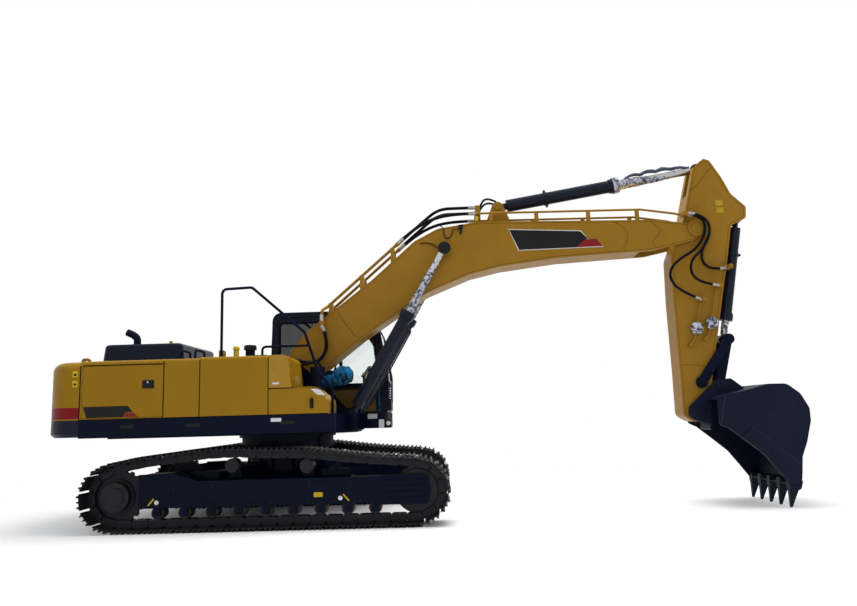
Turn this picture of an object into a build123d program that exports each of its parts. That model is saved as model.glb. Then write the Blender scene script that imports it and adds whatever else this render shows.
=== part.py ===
from build123d import *
from math import atan2, ceil, cos, degrees, hypot, pi, sin, sqrt
import os

# Crawler excavator. Millimetres. +X towards the boom, +Y to the machine's left, +Z up.
# Everything is drawn about the slew axis (x = 0, y = 0), with the ground at z = 0, and
# save() then moves it along X so that the origin lies under the middle of the machine.

# ---------------------------------------------------------------- undercarriage
GAUGE = 2590                    # between the two track centres
SHOE_WIDTH = 600
TUMBLER_X = 2000                # sprocket and idler stand this far behind and ahead
PIN_WRAP_R = 360                # track pins round the sprocket and the idler
SHOE_COUNT = 48
RAIL_DEPTH = 60                 # link rail's tread, inside the pin line
SHOE_INNER = 45                 # shoe plate's inner face, outside the pin line
SHOE_PLATE = 14
GROUSER = 36
PIN_Z = SHOE_INNER + SHOE_PLATE + GROUSER       # bottom run's pin line above the ground
TUMBLER_Z = PIN_Z + PIN_WRAP_R
RAIL_NEAR, RAIL_FAR = 46, 86    # link rails, from the track's centre plane
TOP_RUN = ((1680, 832), (1100, 882), (535, 956), (100, 964), (-463, 990),
           (-890, 974), (-1150, 941), (-1610, 893))     # pins of the slack upper run
GROUSER_PLACES = (-72, 0, 72)   # three bars a shoe
FRAME_HALF = 125                # track frame's half width
FRAME_Z = (360, 640)
GUARD_Z = 300                   # foot of the roller guards
ROLLER_R, ROLLER_COUNT, ROLLER_REACH = 84, 9, 1440
CARRIER_R, CARRIER_PLACES = 92, (-463, 535)
SPROCKET_R, SPROCKET_TEETH = 360, 21
HUB_R = 190
IDLER_R = 262
RING_R, RING_Z = 680, (1030, 1158)

# ---------------------------------------------------------------- upper structure
HALF_WIDTH = 1495
DECK_Z = (1235, 1475)           # skirts and decks
FRAME_FLOOR = (1200, 1235)
ENGINE_SEAT = 1440              # top of the webs behind the boom's foot
TAIL_R = 3240                   # counterweight's rear face about the slew axis
TAIL_CORNER, TAIL_EDGE = 380, 130
TAIL_FRONT = 745 - TAIL_R       # the counterweight's front face
TAIL_FOOT = 1250
LUG_X, LUG_Y, LUG_HEIGHT, LUG_BORE = 290 - TAIL_R, 410, 135, 30        # lifting lugs on the tail
BODY_TOP = 2262                 # top of the side panels
TANK_TOP = 2275
SEAM_DOOR = -1366               # between the pump door and the fixed panel
SEAM_TANK = -879
SEAM_FUEL = 43
WALL = 40                       # doors and panels are this thick
GAP = 6                         # shut line
RUN = 0.5                       # running gap round a pin, rod or knuckle
KNUCKLE_R = 12                  # door hinges
SIDE_DOOR_Z = (1492, 2196)
SIDE_KNUCKLES = (1580, 2060)
CAB_KNUCKLES = (1660, 2760)
HOOD_X, HOOD_Y, HOOD_HEIGHT = (TAIL_FRONT - 35, -1350), (-870, 770), 288
HOOD_SEAT = 4                   # the hood stands this far over the housing
HOOD_PIN = (HOOD_X[1], BODY_TOP + HOOD_SEAT)
LID_X, LID_Y = (375, 630), (-1455, -800)
TOOLBOX_TOP = 1822
LID_PIN = (LID_X[0], TOOLBOX_TOP + 10)
WEB_NEAR, WEB_FAR = 292, 322    # the two webs that carry the boom
CAB_X, CAB_Y, CAB_Z = (-380, 1500), (492, 1490), (1475, 3130)
CAB_WALL = 45
DOOR_X, DOOR_Z = (190, 1290), (1530, 3010)
GLASS = 8
WINDSCREEN_X, WINDSCREEN_Z = (1080, 1560), (1640, 2960)
WINDSCREEN_Y = (CAB_Y[0] + 75, CAB_Y[1] - 75)
REAR_PANE_Y, REAR_PANE_Z = (CAB_Y[0] + 120, CAB_Y[1] - 120), (2250, 2900)
RIGHT_PANE = ((560, 1900, 50), (1330, 1900, 50), (1340, 2100, 200), (1290, 2700, 60), (1130, 2960, 80),
              (560, 2960, 50))
RIGHT_REAR_PANE = ((-250, 2250, 50), (490, 2250, 50), (490, 2960, 50), (-250, 2960, 60))
LEFT_REAR_PANE = ((-250, 2250, 50), (110, 2250, 50), (110, 2960, 50), (-250, 2960, 60))

# ---------------------------------------------------------------- front end, pins as (x, z)
FOOT_PIN = (170, 2106)
TIP_PIN = (6330, 4141)
BUCKET_PIN = (6100, 1335)
BOOM_ROD_PIN = (2457, 3926)
BOOM_BASE_PIN = (1020, 1450)
ARM_BASE_PIN = (3320, 4630)
ARM_ROD_PIN = (6480, 5140)
BUCKET_BASE_PIN = (7050, 4320)
LINK_PIN = (6688, 2424)
SIDE_PIN = (6234, 1787)
EAR_PIN = (6510, 1745)
BOOM_HALF = 260                 # boom box, half width
ARM_HALF = 195
BUCKET_HALF = 700
CYLINDER_Y = 372                # boom cylinders, either side of the boom
FOOT_PIN_R, TIP_PIN_R, BUCKET_PIN_R, SIDE_PIN_R, LINK_PIN_R = 60, 50, 45, 40, 36
BOOM_BASE_R, ARM_BASE_R, BUCKET_BASE_R = 45, 40, 38
FORK_R = 650                    # slot in the boom's tip, about the tip pin
MACHINE_FRONT = 7551            # the bucket's back
TUCK = ((6330, 4141), (5700, 4120), (5270, 3560), (5270, 3400), (6330, 3400))       # room for the folded arm
BARREL_BASE, BORE_BASE = 150, 165       # where a cylinder's barrel and its bore start, from the base pin
PIPE_R, HOSE_R, KNEE_HOSE_R, ARM_HOSE_R = 17, 24, 24, 20
PIPES_Y = (165, 225)            # inner pipes serve the arm's cylinder, outer ones the bucket's
LOWER_PIPE = ((590, 3053), (1745, 4057))
UPPER_PIPE = ((2963, 4490), (5507, 4468), (6030, 4385), (6150, 4352))
SIDE_PIPES_Y = (350, 400)       # the right-hand pipes' lower ends, beside the boom
TEETH, TOOTH_Z = 5, (8, 360)
SHIFT_X = (TAIL_R - MACHINE_FRONT) / 2


def side(y):
    """The upright plane at y, whose own axes are the machine's X and Z."""
    return Plane.XZ.offset(-y)


def either(hand, near, far):
    """The y range from near to far off the centre plane, on the right (-1) or left (1)."""
    return tuple(sorted((hand * near, hand * far)))


def slab(rows, y, mode=Mode.ADD):
    """A plate seen from the side: rows of x, z and corner radius, spread over the range y."""
    with BuildSketch(side(y[0])) as face:
        with BuildLine():
            FilletPolyline(*[row[:2] for row in rows], radius=[row[2] for row in rows], close=True)
        make_face()
    extrude(face.sketch, amount=y[0] - y[1], mode=mode)


def plan(rows, z, mode=Mode.ADD):
    """A plate seen from above: rows of x, y and corner radius, spread over the range z."""
    with BuildSketch(Plane.XY.offset(z[0])) as face:
        with BuildLine():
            FilletPolyline(*[row[:2] for row in rows], radius=[row[2] for row in rows], close=True)
        make_face()
    extrude(face.sketch, amount=z[1] - z[0], mode=mode)


def block(x, y, z, mode=Mode.ADD):
    """A box over the ranges x, y and z."""
    with BuildSketch(Plane.XY.offset(z[0])) as face:
        with Locations(((x[0] + x[1]) / 2, (y[0] + y[1]) / 2)):
            Rectangle(x[1] - x[0], y[1] - y[0])
    extrude(face.sketch, amount=z[1] - z[0], mode=mode)


def cross(pin, radius, y, mode=Mode.ADD):
    """A round bar across the machine at pin, over the range y."""
    with BuildSketch(side(y[0])) as face:
        with Locations(pin):
            Circle(radius)
    extrude(face.sketch, amount=y[0] - y[1], mode=mode)


def post(spot, radius, z, mode=Mode.ADD):
    """An upright round bar at spot (x, y), over the range z."""
    with BuildSketch(Plane.XY.offset(z[0])) as face:
        with Locations(spot):
            Circle(radius)
    extrude(face.sketch, amount=z[1] - z[0], mode=mode)


def bar(start, end, radius, y=0.0, mode=Mode.ADD):
    """A round bar between two points (x, z) in the plane at y."""
    span = Vector(end[0] - start[0], 0, end[1] - start[1])
    with BuildSketch(Plane(origin=(start[0], y, start[1]), x_dir=(0, 1, 0), z_dir=span)) as face:
        Circle(radius)
    extrude(face.sketch, amount=span.length, mode=mode)


def tube(points, radius, bend):
    """A tube through points: straight runs joined by arcs of radius bend."""
    with BuildLine() as path:
        FilletPolyline(*points, radius=bend)
    with BuildSketch(Plane(origin=path.line @ 0, z_dir=path.line % 0)) as face:
        Circle(radius)
    sweep(face.sketch, path=path.line)


def knuckles(spot, heights, moving):
    """Upright hinge knuckles about spot, with room for the other leaf's: one moving, one fixed each side."""
    for z in heights:
        mine = ((z, z + 60),) if moving else ((z - 40 - RUN, z - RUN), (z + 60 + RUN, z + 100 + RUN))
        other = ((z - 41 - RUN, z), (z + 60, z + 101 + RUN)) if moving else ((z - RUN, z + 60 + RUN),)
        for span in other:
            post(spot, KNUCKLE_R + 3, span, mode=Mode.SUBTRACT)
        for span in mine:
            post(spot, KNUCKLE_R, span)


def cross_knuckles(pin, places, moving):
    """Hinge knuckles lying across the machine about pin, one moving and one fixed each side."""
    for y in places:
        mine = ((y, y + 60),) if moving else ((y - 40 - RUN, y - RUN), (y + 60 + RUN, y + 100 + RUN))
        other = ((y - 41 - RUN, y), (y + 60, y + 101 + RUN)) if moving else ((y - RUN, y + 60 + RUN),)
        for span in other:
            cross(pin, KNUCKLE_R + 3, span, mode=Mode.SUBTRACT)
        for span in mine:
            cross(pin, KNUCKLE_R, span)


def between(start, end, share):
    """The point at a share of the way from start to end."""
    return tuple(a + share * (b - a) for a, b in zip(start, end))


def distance(start, end):
    """The length between two pins."""
    return hypot(end[0] - start[0], end[1] - start[1])


# ---------------------------------------------------------------- tracks
def pin_path():
    """The track's pin line as a closed chain of points, from under the sprocket forwards."""
    arc = [pi * step / 24 for step in range(24)]
    front = [(TUMBLER_X + PIN_WRAP_R * sin(a), TUMBLER_Z - PIN_WRAP_R * cos(a)) for a in arc]
    rear = [(-TUMBLER_X - PIN_WRAP_R * sin(a), TUMBLER_Z + PIN_WRAP_R * cos(a)) for a in arc[2:]]
    return [(-TUMBLER_X, PIN_Z)] + front + list(TOP_RUN) + rear


def pins():
    """The track pins, one at every pitch along the pin line."""
    path = pin_path()
    legs = [(path[i - 1], path[i]) for i in range(1, len(path))] + [(path[-1], path[0])]
    pitch = sum(distance(*leg) for leg in legs) / SHOE_COUNT
    found = []
    gone = 0.0
    for start, end in legs:
        length = distance(start, end)
        while len(found) < SHOE_COUNT and len(found) * pitch < gone + length:
            found.append(between(start, end, (len(found) * pitch - gone) / length))
        gone += length
    return found


def shoe_point(start, end, along, out):
    """A point on the shoe between two pins: along from its middle, out from the pin line."""
    length = distance(start, end)
    unit = ((end[0] - start[0]) / length, (end[1] - start[1]) / length)
    middle = between(start, end, 0.5)
    return (middle[0] + along * unit[0] + out * unit[1], middle[1] + along * unit[1] - out * unit[0])


def loop(profile):
    """The closed outline that repeats a shoe's profile, rows of along and out, round the track."""
    chain = pins()
    return [shoe_point(chain[i], chain[(i + 1) % SHOE_COUNT], along, out)
            for i in range(SHOE_COUNT) for along, out in profile]


def band(outer, inner, y):
    """The ring between two outlines round the track, over the range y."""
    with BuildSketch(side(y[0])) as face:
        with BuildLine():
            Polyline(*outer, close=True)
        make_face()
        with BuildLine():
            Polyline(*inner, close=True)
        make_face(mode=Mode.SUBTRACT)
    extrude(face.sketch, amount=y[0] - y[1])


def make_track(name, hand):
    """One track: shoes with three grousers each, on two link rails."""
    face = SHOE_INNER + SHOE_PLATE
    bars = []
    for place in GROUSER_PLACES:
        bars += [(place - 15, face), (place - 6, face + GROUSER), (place + 6, face + GROUSER),
                 (place + 15, face)]
    centre = hand * GAUGE / 2
    with BuildPart() as track:
        band(loop(bars), loop([(0, SHOE_INNER)]), (centre - SHOE_WIDTH / 2, centre + SHOE_WIDTH / 2))
        for near, far in ((RAIL_NEAR, RAIL_FAR), (-RAIL_FAR, -RAIL_NEAR)):
            band(loop([(0, SHOE_INNER + 6)]), loop([(0, -RAIL_DEPTH)]), (centre + near, centre + far))
    save(track, name)


def make_sprockets():
    """Both drive sprockets with their final drives' covers."""
    with BuildPart() as sprockets:
        for hand in (-1, 1):
            centre = hand * GAUGE / 2
            with BuildSketch(side(centre - 28)):
                with Locations((-TUMBLER_X, TUMBLER_Z)):
                    Circle(SPROCKET_R)
                    with PolarLocations(PIN_WRAP_R + 4, SPROCKET_TEETH):
                        Circle(34, mode=Mode.SUBTRACT)
            extrude(amount=-56)
            cross((-TUMBLER_X, TUMBLER_Z), HUB_R + 40, either(hand, GAUGE / 2 - 98, GAUGE / 2 + 60))
            cross((-TUMBLER_X, TUMBLER_Z), HUB_R, either(hand, GAUGE / 2 + 60, GAUGE / 2 + 150))
            cross((-TUMBLER_X, TUMBLER_Z), HUB_R - 70, either(hand, GAUGE / 2 + 150, GAUGE / 2 + 165))
    save(sprockets, "sprockets")


def make_idlers():
    """Both front idlers: a rim on each side of a centre flange."""
    with BuildPart() as idlers:
        for hand in (-1, 1):
            middle = GAUGE / 2
            cross((TUMBLER_X, TUMBLER_Z), IDLER_R, either(hand, middle - 90, middle + 90))
            cross((TUMBLER_X, TUMBLER_Z), IDLER_R + 45, either(hand, middle - 36, middle + 36))
            cross((TUMBLER_X, TUMBLER_Z), 60, either(hand, middle - 100, middle + 100))
    save(idlers, "idlers")


def roller_places():
    """Bottom rollers as rows of x, z and radius."""
    step = 2 * ROLLER_REACH / (ROLLER_COUNT - 1)
    height = PIN_Z + RAIL_DEPTH + ROLLER_R + 0.2
    return [(-ROLLER_REACH + step * i, height, ROLLER_R) for i in range(ROLLER_COUNT)]


def carrier_places():
    """Carrier rollers under the upper run, as rows of x, z and radius."""
    heights = dict(TOP_RUN)
    return [(x, heights[x] - RAIL_DEPTH - CARRIER_R - 10, CARRIER_R) for x in CARRIER_PLACES]


def make_rollers():
    """All bottom and carrier rollers of both tracks."""
    with BuildPart() as rollers:
        for hand in (-1, 1):
            middle = GAUGE / 2
            for x, z, radius in roller_places():
                cross((x, z), radius, either(hand, middle - 92, middle + 92))
                cross((x, z), 34, either(hand, middle - 105, middle + 105))
            for x, z, radius in carrier_places():
                cross((x, z), radius, either(hand, middle - 95, middle + 95))
                cross((x, z), 70, either(hand, middle - 95, middle + 104))
    save(rollers, "rollers")


def make_track_frame(name, hand):
    """One track frame: box beam, roller guards, idler yoke and the final drive's seat."""
    middle = GAUGE / 2
    full = either(hand, middle - FRAME_HALF, middle + FRAME_HALF)
    with BuildPart() as frame:
        slab(((-1600, FRAME_Z[0], 0), (1560, FRAME_Z[0], 0), (1560, FRAME_Z[1] + 20, 0),
              (1480, FRAME_Z[1], 0),
              (-900, FRAME_Z[1], 60), (-1270, 752, 60), (-1600, 742, 0)), full)
        slab(((-1690, GUARD_Z, 0), (-1590, GUARD_Z, 0), (-1590, 742, 0), (-1690, 740, 0)),
             either(hand, middle + 113, middle + FRAME_HALF))
        for near, far in ((middle - FRAME_HALF, middle - 113), (middle + 113, middle + FRAME_HALF)):
            slab(((-1690, GUARD_Z, 0), (1560, GUARD_Z, 0), (1560, FRAME_Z[0] + 20, 0),
                  (-1690, FRAME_Z[0] + 20, 0)),
                 either(hand, near, far))
        for near, far in ((middle - FRAME_HALF, middle - 100), (middle + 100, middle + FRAME_HALF)):
            slab(((1500, 275, 0), (2140, 275, 40), (2175, 455, 0), (2140, 660, 40), (1500, 664, 0)),
                 either(hand, near, far))
        inner = either(hand, middle - 140, middle - 98)
        cross((-TUMBLER_X, TUMBLER_Z), 240, inner)
        slab(((-TUMBLER_X, TUMBLER_Z - 238, 0), (-1600, 310, 0), (-1600, 735, 0),
              (-TUMBLER_X, TUMBLER_Z + 238, 0)),
             inner)
        cross((-TUMBLER_X, TUMBLER_Z), 165, either(hand, middle - 330, middle - 140))
        for x, z, _ in roller_places():
            for near, far in ((middle - FRAME_HALF, middle - 105), (middle + 105, middle + FRAME_HALF)):
                block((x - 45, x + 45), either(hand, near, far), (z - 42, GUARD_Z + 5))
        for x, z, _ in carrier_places():
            slab(((x - 90, FRAME_Z[1] - 5, 0), (x + 90, FRAME_Z[1] - 5, 0), (x + 45, z + 45, 30),
                  (x - 45, z + 45,
                   30)),
                 either(hand, middle - 125, middle - 95.3))
    save(frame, name)


def make_car_body():
    """The X-shaped centre of the undercarriage, out to both track frames."""
    edge = GAUGE / 2 - FRAME_HALF
    with BuildPart() as car_body:
        for hand in (-1, 1):
            for end in (-1, 1):
                plan(((end * 620, hand * edge, 0), (end * 1180, hand * edge, 0), (end * 560, hand * 300, 0),
                      (end * 60, hand * 380, 0)), (500, 640))
                plan(((end * 700, hand * edge, 0), (end * 1100, hand * edge, 0), (end * 500, hand * 300, 0),
                      (end * 120, hand * 380, 0)), (640, 740))
        block((-640, 640), (-520, 520), (480, 800))
        post((0, 0), 600, (560, 1000))
        post((0, 0), 700, (1000, RING_Z[0]))
    save(car_body, "car_body")


def make_swing_ring():
    """The fixed race of the swing bearing."""
    with BuildPart() as swing_ring:
        post((0, 0), RING_R, RING_Z)
        post((0, 0), RING_R - 110, RING_Z, mode=Mode.SUBTRACT)
    save(swing_ring, "swing_ring")


# ---------------------------------------------------------------- upper structure
def make_main_frame():
    """The revolving frame: floor, ring flange, two webs up to the boom's foot, cylinder lugs."""
    with BuildPart() as main_frame:
        plan(((TAIL_FRONT, -620, 0), (900, -620, 80), (1090, -300, 60), (1090, 300, 60), (900, 620, 80),
              (TAIL_FRONT, 620, 0)), FRAME_FLOOR)
        post((0, 0), RING_R + 40, (RING_Z[1] + RUN, FRAME_FLOOR[0] + 5))
        for hand in (-1, 1):
            slab(((TAIL_FRONT, 1220, 0), (1110, 1220, 0), (1120, 1430, 60), (1020, 1560, 90),
                  (860, 1540, 60),
                  (360, 2130, 120), (170, 2270, 140), (-10, 2140, 120), (-330, ENGINE_SEAT, 100),
                  (TAIL_FRONT, ENGINE_SEAT, 0)), either(hand, WEB_NEAR, WEB_FAR))
            slab(((880, 1220, 0), (1110, 1220, 0), (1120, 1430, 60), (1020, 1560, 90), (880, 1420, 60)),
                 either(hand, 422, 452))
            cross(BOOM_BASE_PIN, BOOM_BASE_R, either(hand, WEB_FAR - 5, 428))
            cross(BOOM_BASE_PIN, 62, either(hand, 452, 464))
            cross(FOOT_PIN, 75, either(hand, WEB_FAR, WEB_FAR + 14))
        cross(FOOT_PIN, FOOT_PIN_R, (-WEB_FAR, WEB_FAR))
        block((-720, -680), (-WEB_NEAR - 5, WEB_NEAR + 5), (1220, 1460))
        block((780, 820), (-WEB_NEAR - 5, WEB_NEAR + 5), (1220, 1400))
    save(main_frame, "main_frame")


def make_side_decks():
    """The decks outside the frame, with the dark skirts, and the platform under the cab."""
    with BuildPart() as side_decks:
        plan(((TAIL_FRONT, -HALF_WIDTH, 0), (930, -HALF_WIDTH, 90), (930, -474, 0), (TAIL_FRONT, -474, 0)),
             DECK_Z)
        plan(((TAIL_FRONT, 474, 0), (-400, 474, 0), (-400, HALF_WIDTH, 0), (TAIL_FRONT, HALF_WIDTH, 0)),
             DECK_Z)
        plan(((-400, 482, 0), (1440, 482, 60), (1500, HALF_WIDTH, 90), (-400, HALF_WIDTH, 0)), DECK_Z)
    save(side_decks, "side_decks")


def make_counterweight():
    """The cast tail weight, round about the slew axis, with two lifting lugs."""
    reach = sqrt(TAIL_R ** 2 - HALF_WIDTH ** 2)
    flank = reach + TAIL_FRONT
    with BuildPart() as counterweight:
        with BuildSketch(Plane.XY.offset(TAIL_FOOT)):
            with BuildLine():
                Polyline((-reach, HALF_WIDTH), (TAIL_FRONT, HALF_WIDTH), (TAIL_FRONT, -HALF_WIDTH),
                         (-reach, -HALF_WIDTH))
                ThreePointArc((-reach, -HALF_WIDTH), (-TAIL_R, 0), (-reach, HALF_WIDTH))
            make_face()
        extrude(amount=BODY_TOP - TAIL_FOOT)
        corners = counterweight.edges().filter_by(Axis.Z).group_by(Axis.X)[0]
        fillet(corners, min(TAIL_CORNER, 1.4 * flank))
        rim = min(TAIL_EDGE, 0.35 * flank)
        fillet(counterweight.faces().sort_by(Axis.Z)[-1].edges().sort_by(Axis.X)[:-1], rim)
        chamfer(counterweight.faces().sort_by(Axis.Z)[0].edges().sort_by(Axis.X)[:-1], rim / 3)
        for y in (-LUG_Y, LUG_Y):
            slab(((LUG_X - 80, BODY_TOP - 20, 0), (LUG_X + 80, BODY_TOP - 20, 0),
                  (LUG_X + 60, BODY_TOP + LUG_HEIGHT,
                   45),
                  (LUG_X - 60, BODY_TOP + LUG_HEIGHT, 45)), (y - 25, y + 25))
            cross((LUG_X, BODY_TOP + LUG_HEIGHT - 60), LUG_BORE, (y - 30, y + 30), mode=Mode.SUBTRACT)
    save(counterweight, "counterweight")


def make_engine_block():
    """The engine, as one plain mass at its place."""
    with BuildPart() as engine_block:
        block((TAIL_FRONT + 345, -1100), (-350, 450), (ENGINE_SEAT, 2020))
    save(engine_block, "engine_block")


# Side doors as rows of name, x range of the opening, side and latch place.
SIDE_DOORS = (("pump_door", (TAIL_FRONT + GAP + 20, SEAM_DOOR), -1, -1570),
              ("radiator_door", (TAIL_FRONT + GAP + 20, -1410), 1, -1600),
              ("battery_door", (-1370, -480), 1, -1180))
HOOD_KNUCKLES = (HOOD_Y[0] + 200, HOOD_Y[1] - 260)


def make_housing():
    """Fixed panels round the engine bay, open at its doors and under its hood."""
    back = TAIL_FRONT + GAP
    with BuildPart() as housing:
        plan(((back, -HALF_WIDTH, 0), (SEAM_TANK, -HALF_WIDTH, 0), (SEAM_TANK, -600, 0), (-450, -600, 0),
              (-450, HALF_WIDTH, 0), (back, HALF_WIDTH, 0)), (DECK_Z[1], BODY_TOP))
        edges = housing.faces().sort_by(Axis.Z)[-1].edges().filter_by(Axis.X)
        fillet(edges.group_by(Axis.Y)[0] + edges.group_by(Axis.Y)[-1], 45)
        plan(((back + WALL, -HALF_WIDTH + WALL, 0), (SEAM_TANK - WALL, -HALF_WIDTH + WALL, 0),
              (SEAM_TANK - WALL, -600 + WALL, 0), (-450 - WALL, -600 + WALL, 0),
              (-450 - WALL, HALF_WIDTH - WALL, 0), (back + WALL, HALF_WIDTH - WALL, 0)),
             (DECK_Z[1], BODY_TOP - WALL), mode=Mode.SUBTRACT)
        for _, x, hand, _ in SIDE_DOORS:
            block(x, either(hand, HALF_WIDTH - WALL - 1, HALF_WIDTH + 1), SIDE_DOOR_Z, mode=Mode.SUBTRACT)
            knuckles((x[0] + GAP, hand * HALF_WIDTH), SIDE_KNUCKLES, False)
        block((back + 120, HOOD_X[1] - WALL), (HOOD_Y[0] + 80, HOOD_Y[1] - 80),
              (BODY_TOP - WALL - 1, BODY_TOP + 1),
              mode=Mode.SUBTRACT)
        cross_knuckles(HOOD_PIN, HOOD_KNUCKLES, False)
    save(housing, "housing")


def make_door(name, x, hand, latch_x):
    """A side door, as thick as its wall, with a latch plate near its free edge."""
    with BuildPart() as door:
        block((x[0] + GAP, x[1] - GAP), either(hand, HALF_WIDTH - WALL, HALF_WIDTH),
              (SIDE_DOOR_Z[0] + GAP, SIDE_DOOR_Z[1] - GAP))
        block((latch_x - 80, latch_x + 80), either(hand, HALF_WIDTH - 2, HALF_WIDTH + 6), (1875, 1985))
        knuckles((x[0] + GAP, hand * HALF_WIDTH), SIDE_KNUCKLES, True)
    save(door, name)


def make_engine_hood():
    """The raised lid over the engine, tapering upwards, hinged along its front edge."""
    foot = BODY_TOP + HOOD_SEAT
    middle = ((HOOD_X[0] + HOOD_X[1]) / 2, (HOOD_Y[0] + HOOD_Y[1]) / 2)
    long, wide = HOOD_X[1] - HOOD_X[0], HOOD_Y[1] - HOOD_Y[0]
    with BuildPart() as engine_hood:
        with BuildSketch(Plane.XY.offset(foot)):
            with Locations(middle):
                RectangleRounded(long, wide, 110)
        with BuildSketch(Plane.XY.offset(BODY_TOP + HOOD_HEIGHT)):
            with Locations(middle):
                RectangleRounded(long - 60, wide - 60, 90)
        loft()
        fillet(engine_hood.faces().sort_by(Axis.Z)[-1].edges(), 55)
        with BuildSketch(Plane.XY.offset(foot - 1)):
            with Locations(middle):
                RectangleRounded(long - 60, wide - 60, 90)
        with BuildSketch(Plane.XY.offset(BODY_TOP + HOOD_HEIGHT - 30)):
            with Locations(middle):
                RectangleRounded(long - 130, wide - 130, 60)
        loft(mode=Mode.SUBTRACT)
        cross_knuckles(HOOD_PIN, HOOD_KNUCKLES, True)
    save(engine_hood, "engine_hood")


def make_exhaust():
    """The bent tail pipe on the hood."""
    top = BODY_TOP + HOOD_HEIGHT
    spot = (TAIL_FRONT + 385, -600)
    with BuildPart() as exhaust:
        tube(((*spot, top), (*spot, top + 90), (spot[0] - 150, spot[1], top + 205)), 42, 80)
        post(spot, 62, (top, top + 25))
    save(exhaust, "exhaust")


def make_hydraulic_tank():
    """The hydraulic tank, right of the boom, flush with the panels."""
    with BuildPart() as hydraulic_tank:
        block((SEAM_TANK + GAP, SEAM_FUEL - GAP), (-HALF_WIDTH, -610), (DECK_Z[1], TANK_TOP))
        fillet(hydraulic_tank.faces().sort_by(Axis.Z)[-1].edges().filter_by(Axis.X), 50)
    save(hydraulic_tank, "hydraulic_tank")


def make_fuel_tank():
    """The fuel tank's raked front part, above the toolbox."""
    with BuildPart() as fuel_tank:
        slab(((SEAM_FUEL, DECK_Z[1], 0), (SEAM_FUEL + 250, DECK_Z[1], 0), (SEAM_FUEL + 250, 1835, 0),
              (350, 1835, 0),
              (300, TANK_TOP, 90), (SEAM_FUEL, TANK_TOP, 0)), (-HALF_WIDTH + 320, -610))
        slab(((SEAM_FUEL, 1835, 0), (350, 1835, 0), (300, TANK_TOP, 70), (SEAM_FUEL, TANK_TOP, 0)),
             (-HALF_WIDTH, -HALF_WIDTH + 321))
    save(fuel_tank, "fuel_tank")


LID_KNUCKLES = (LID_Y[0] + 110, LID_Y[1] - 210)


def make_toolbox():
    """The toolbox at the right front, open on top under its lid."""
    with BuildPart() as toolbox:
        slab(((SEAM_FUEL + 260, DECK_Z[1], 0), (844, DECK_Z[1], 0), (844, 1660, 120),
              (650, TOOLBOX_TOP, 120),
              (SEAM_FUEL + 260, TOOLBOX_TOP, 0)), (-HALF_WIDTH + 330, -760))
        slab(((SEAM_FUEL, DECK_Z[1], 0), (844, DECK_Z[1], 0), (844, 1660, 120), (650, TOOLBOX_TOP, 120),
              (SEAM_FUEL, TOOLBOX_TOP, 0)),
             (-HALF_WIDTH, -HALF_WIDTH + 310))
        slab(((SEAM_FUEL + 260, DECK_Z[1], 0), (844, DECK_Z[1], 0), (844, 1660, 120),
              (650, TOOLBOX_TOP, 120),
              (SEAM_FUEL + 260, TOOLBOX_TOP, 0)), (-HALF_WIDTH + 300, -HALF_WIDTH + 335))
        block((390, 600), (-HALF_WIDTH + 60, -820), (1530, TOOLBOX_TOP + 8), mode=Mode.SUBTRACT)
        cross_knuckles(LID_PIN, LID_KNUCKLES, False)
        block((610, 640), (-HALF_WIDTH - 12, -HALF_WIDTH + 2), (1560, 1680))
    save(toolbox, "toolbox")


def make_toolbox_lid():
    """The toolbox's lid, which is also a step."""
    with BuildPart() as toolbox_lid:
        block(LID_X, LID_Y, (LID_PIN[1] - 6, LID_PIN[1] + 10))
        cross_knuckles(LID_PIN, LID_KNUCKLES, True)
    save(toolbox_lid, "toolbox_lid")


def make_top_fittings():
    """Filler cap, breather and strainer on the tank, and two grab hoops on the housing."""
    with BuildPart() as top_fittings:
        post((-330, -1000), 80, (TANK_TOP, TANK_TOP + 60))
        post((-330, -1000), 95, (TANK_TOP + 60, TANK_TOP + 95))
        post((-520, -1120), 42, (TANK_TOP, TANK_TOP + 100))
        block((-740, -690), (-1100, -980), (TANK_TOP, TANK_TOP + 90))
    save(top_fittings, "top_fittings")


def make_grab_hoops():
    """Two low grab hoops across the housing's top."""
    with BuildPart() as grab_hoops:
        for x in (-1210, -1010):
            outer, inner = 195 - HALF_WIDTH, 580 - HALF_WIDTH
            tube(((x, outer, BODY_TOP), (x, outer, BODY_TOP + 130), (x, inner, BODY_TOP + 130),
                  (x, inner, BODY_TOP)),
                 16, 50)
    save(grab_hoops, "grab_hoops")


def make_swing_motor():
    """The swing motor on its upright gear case, right of the boom's foot."""
    with BuildPart() as swing_motor:
        post((560, -630), 125, (DECK_Z[1], 1850))
        post((560, -630), 110, (1850, 2150))
        block((560, 760), (-720, -560), (1880, 2060))
        cross((760, 1990), 105, (-720, -560))
    save(swing_motor, "swing_motor")


def make_handrail():
    """The tall handrail over the tanks and down past the toolbox."""
    y = -1240
    front = 866
    with BuildPart() as handrail:
        tube(((-668, y, TANK_TOP), (-668, y, 3235), (-250, y, 3250), (485, y, 2600), (663, y, 2074),
              (front, y, 1800), (front, y, DECK_Z[1])), 19, 70)
        tube(((-100, y, TANK_TOP), (-100, y, 2412), (535, y, 2412)), 17, 50)
    save(handrail, "handrail")


# ---------------------------------------------------------------- cab
def cab_rows(inset):
    """The cab's side outline, drawn in by inset, as rows of x, z and corner radius."""
    low, high = CAB_Z[0] + inset, CAB_Z[1] - inset
    back, front = CAB_X[0] + inset, CAB_X[1] - inset
    return ((back, low, 20), (front, low, 60), (front + 10, 2050, 300), (front - 110, 2750, 300),
            (front - 300, high, 160), (back + 20, high, 140), (back, 2500, 400))


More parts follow.
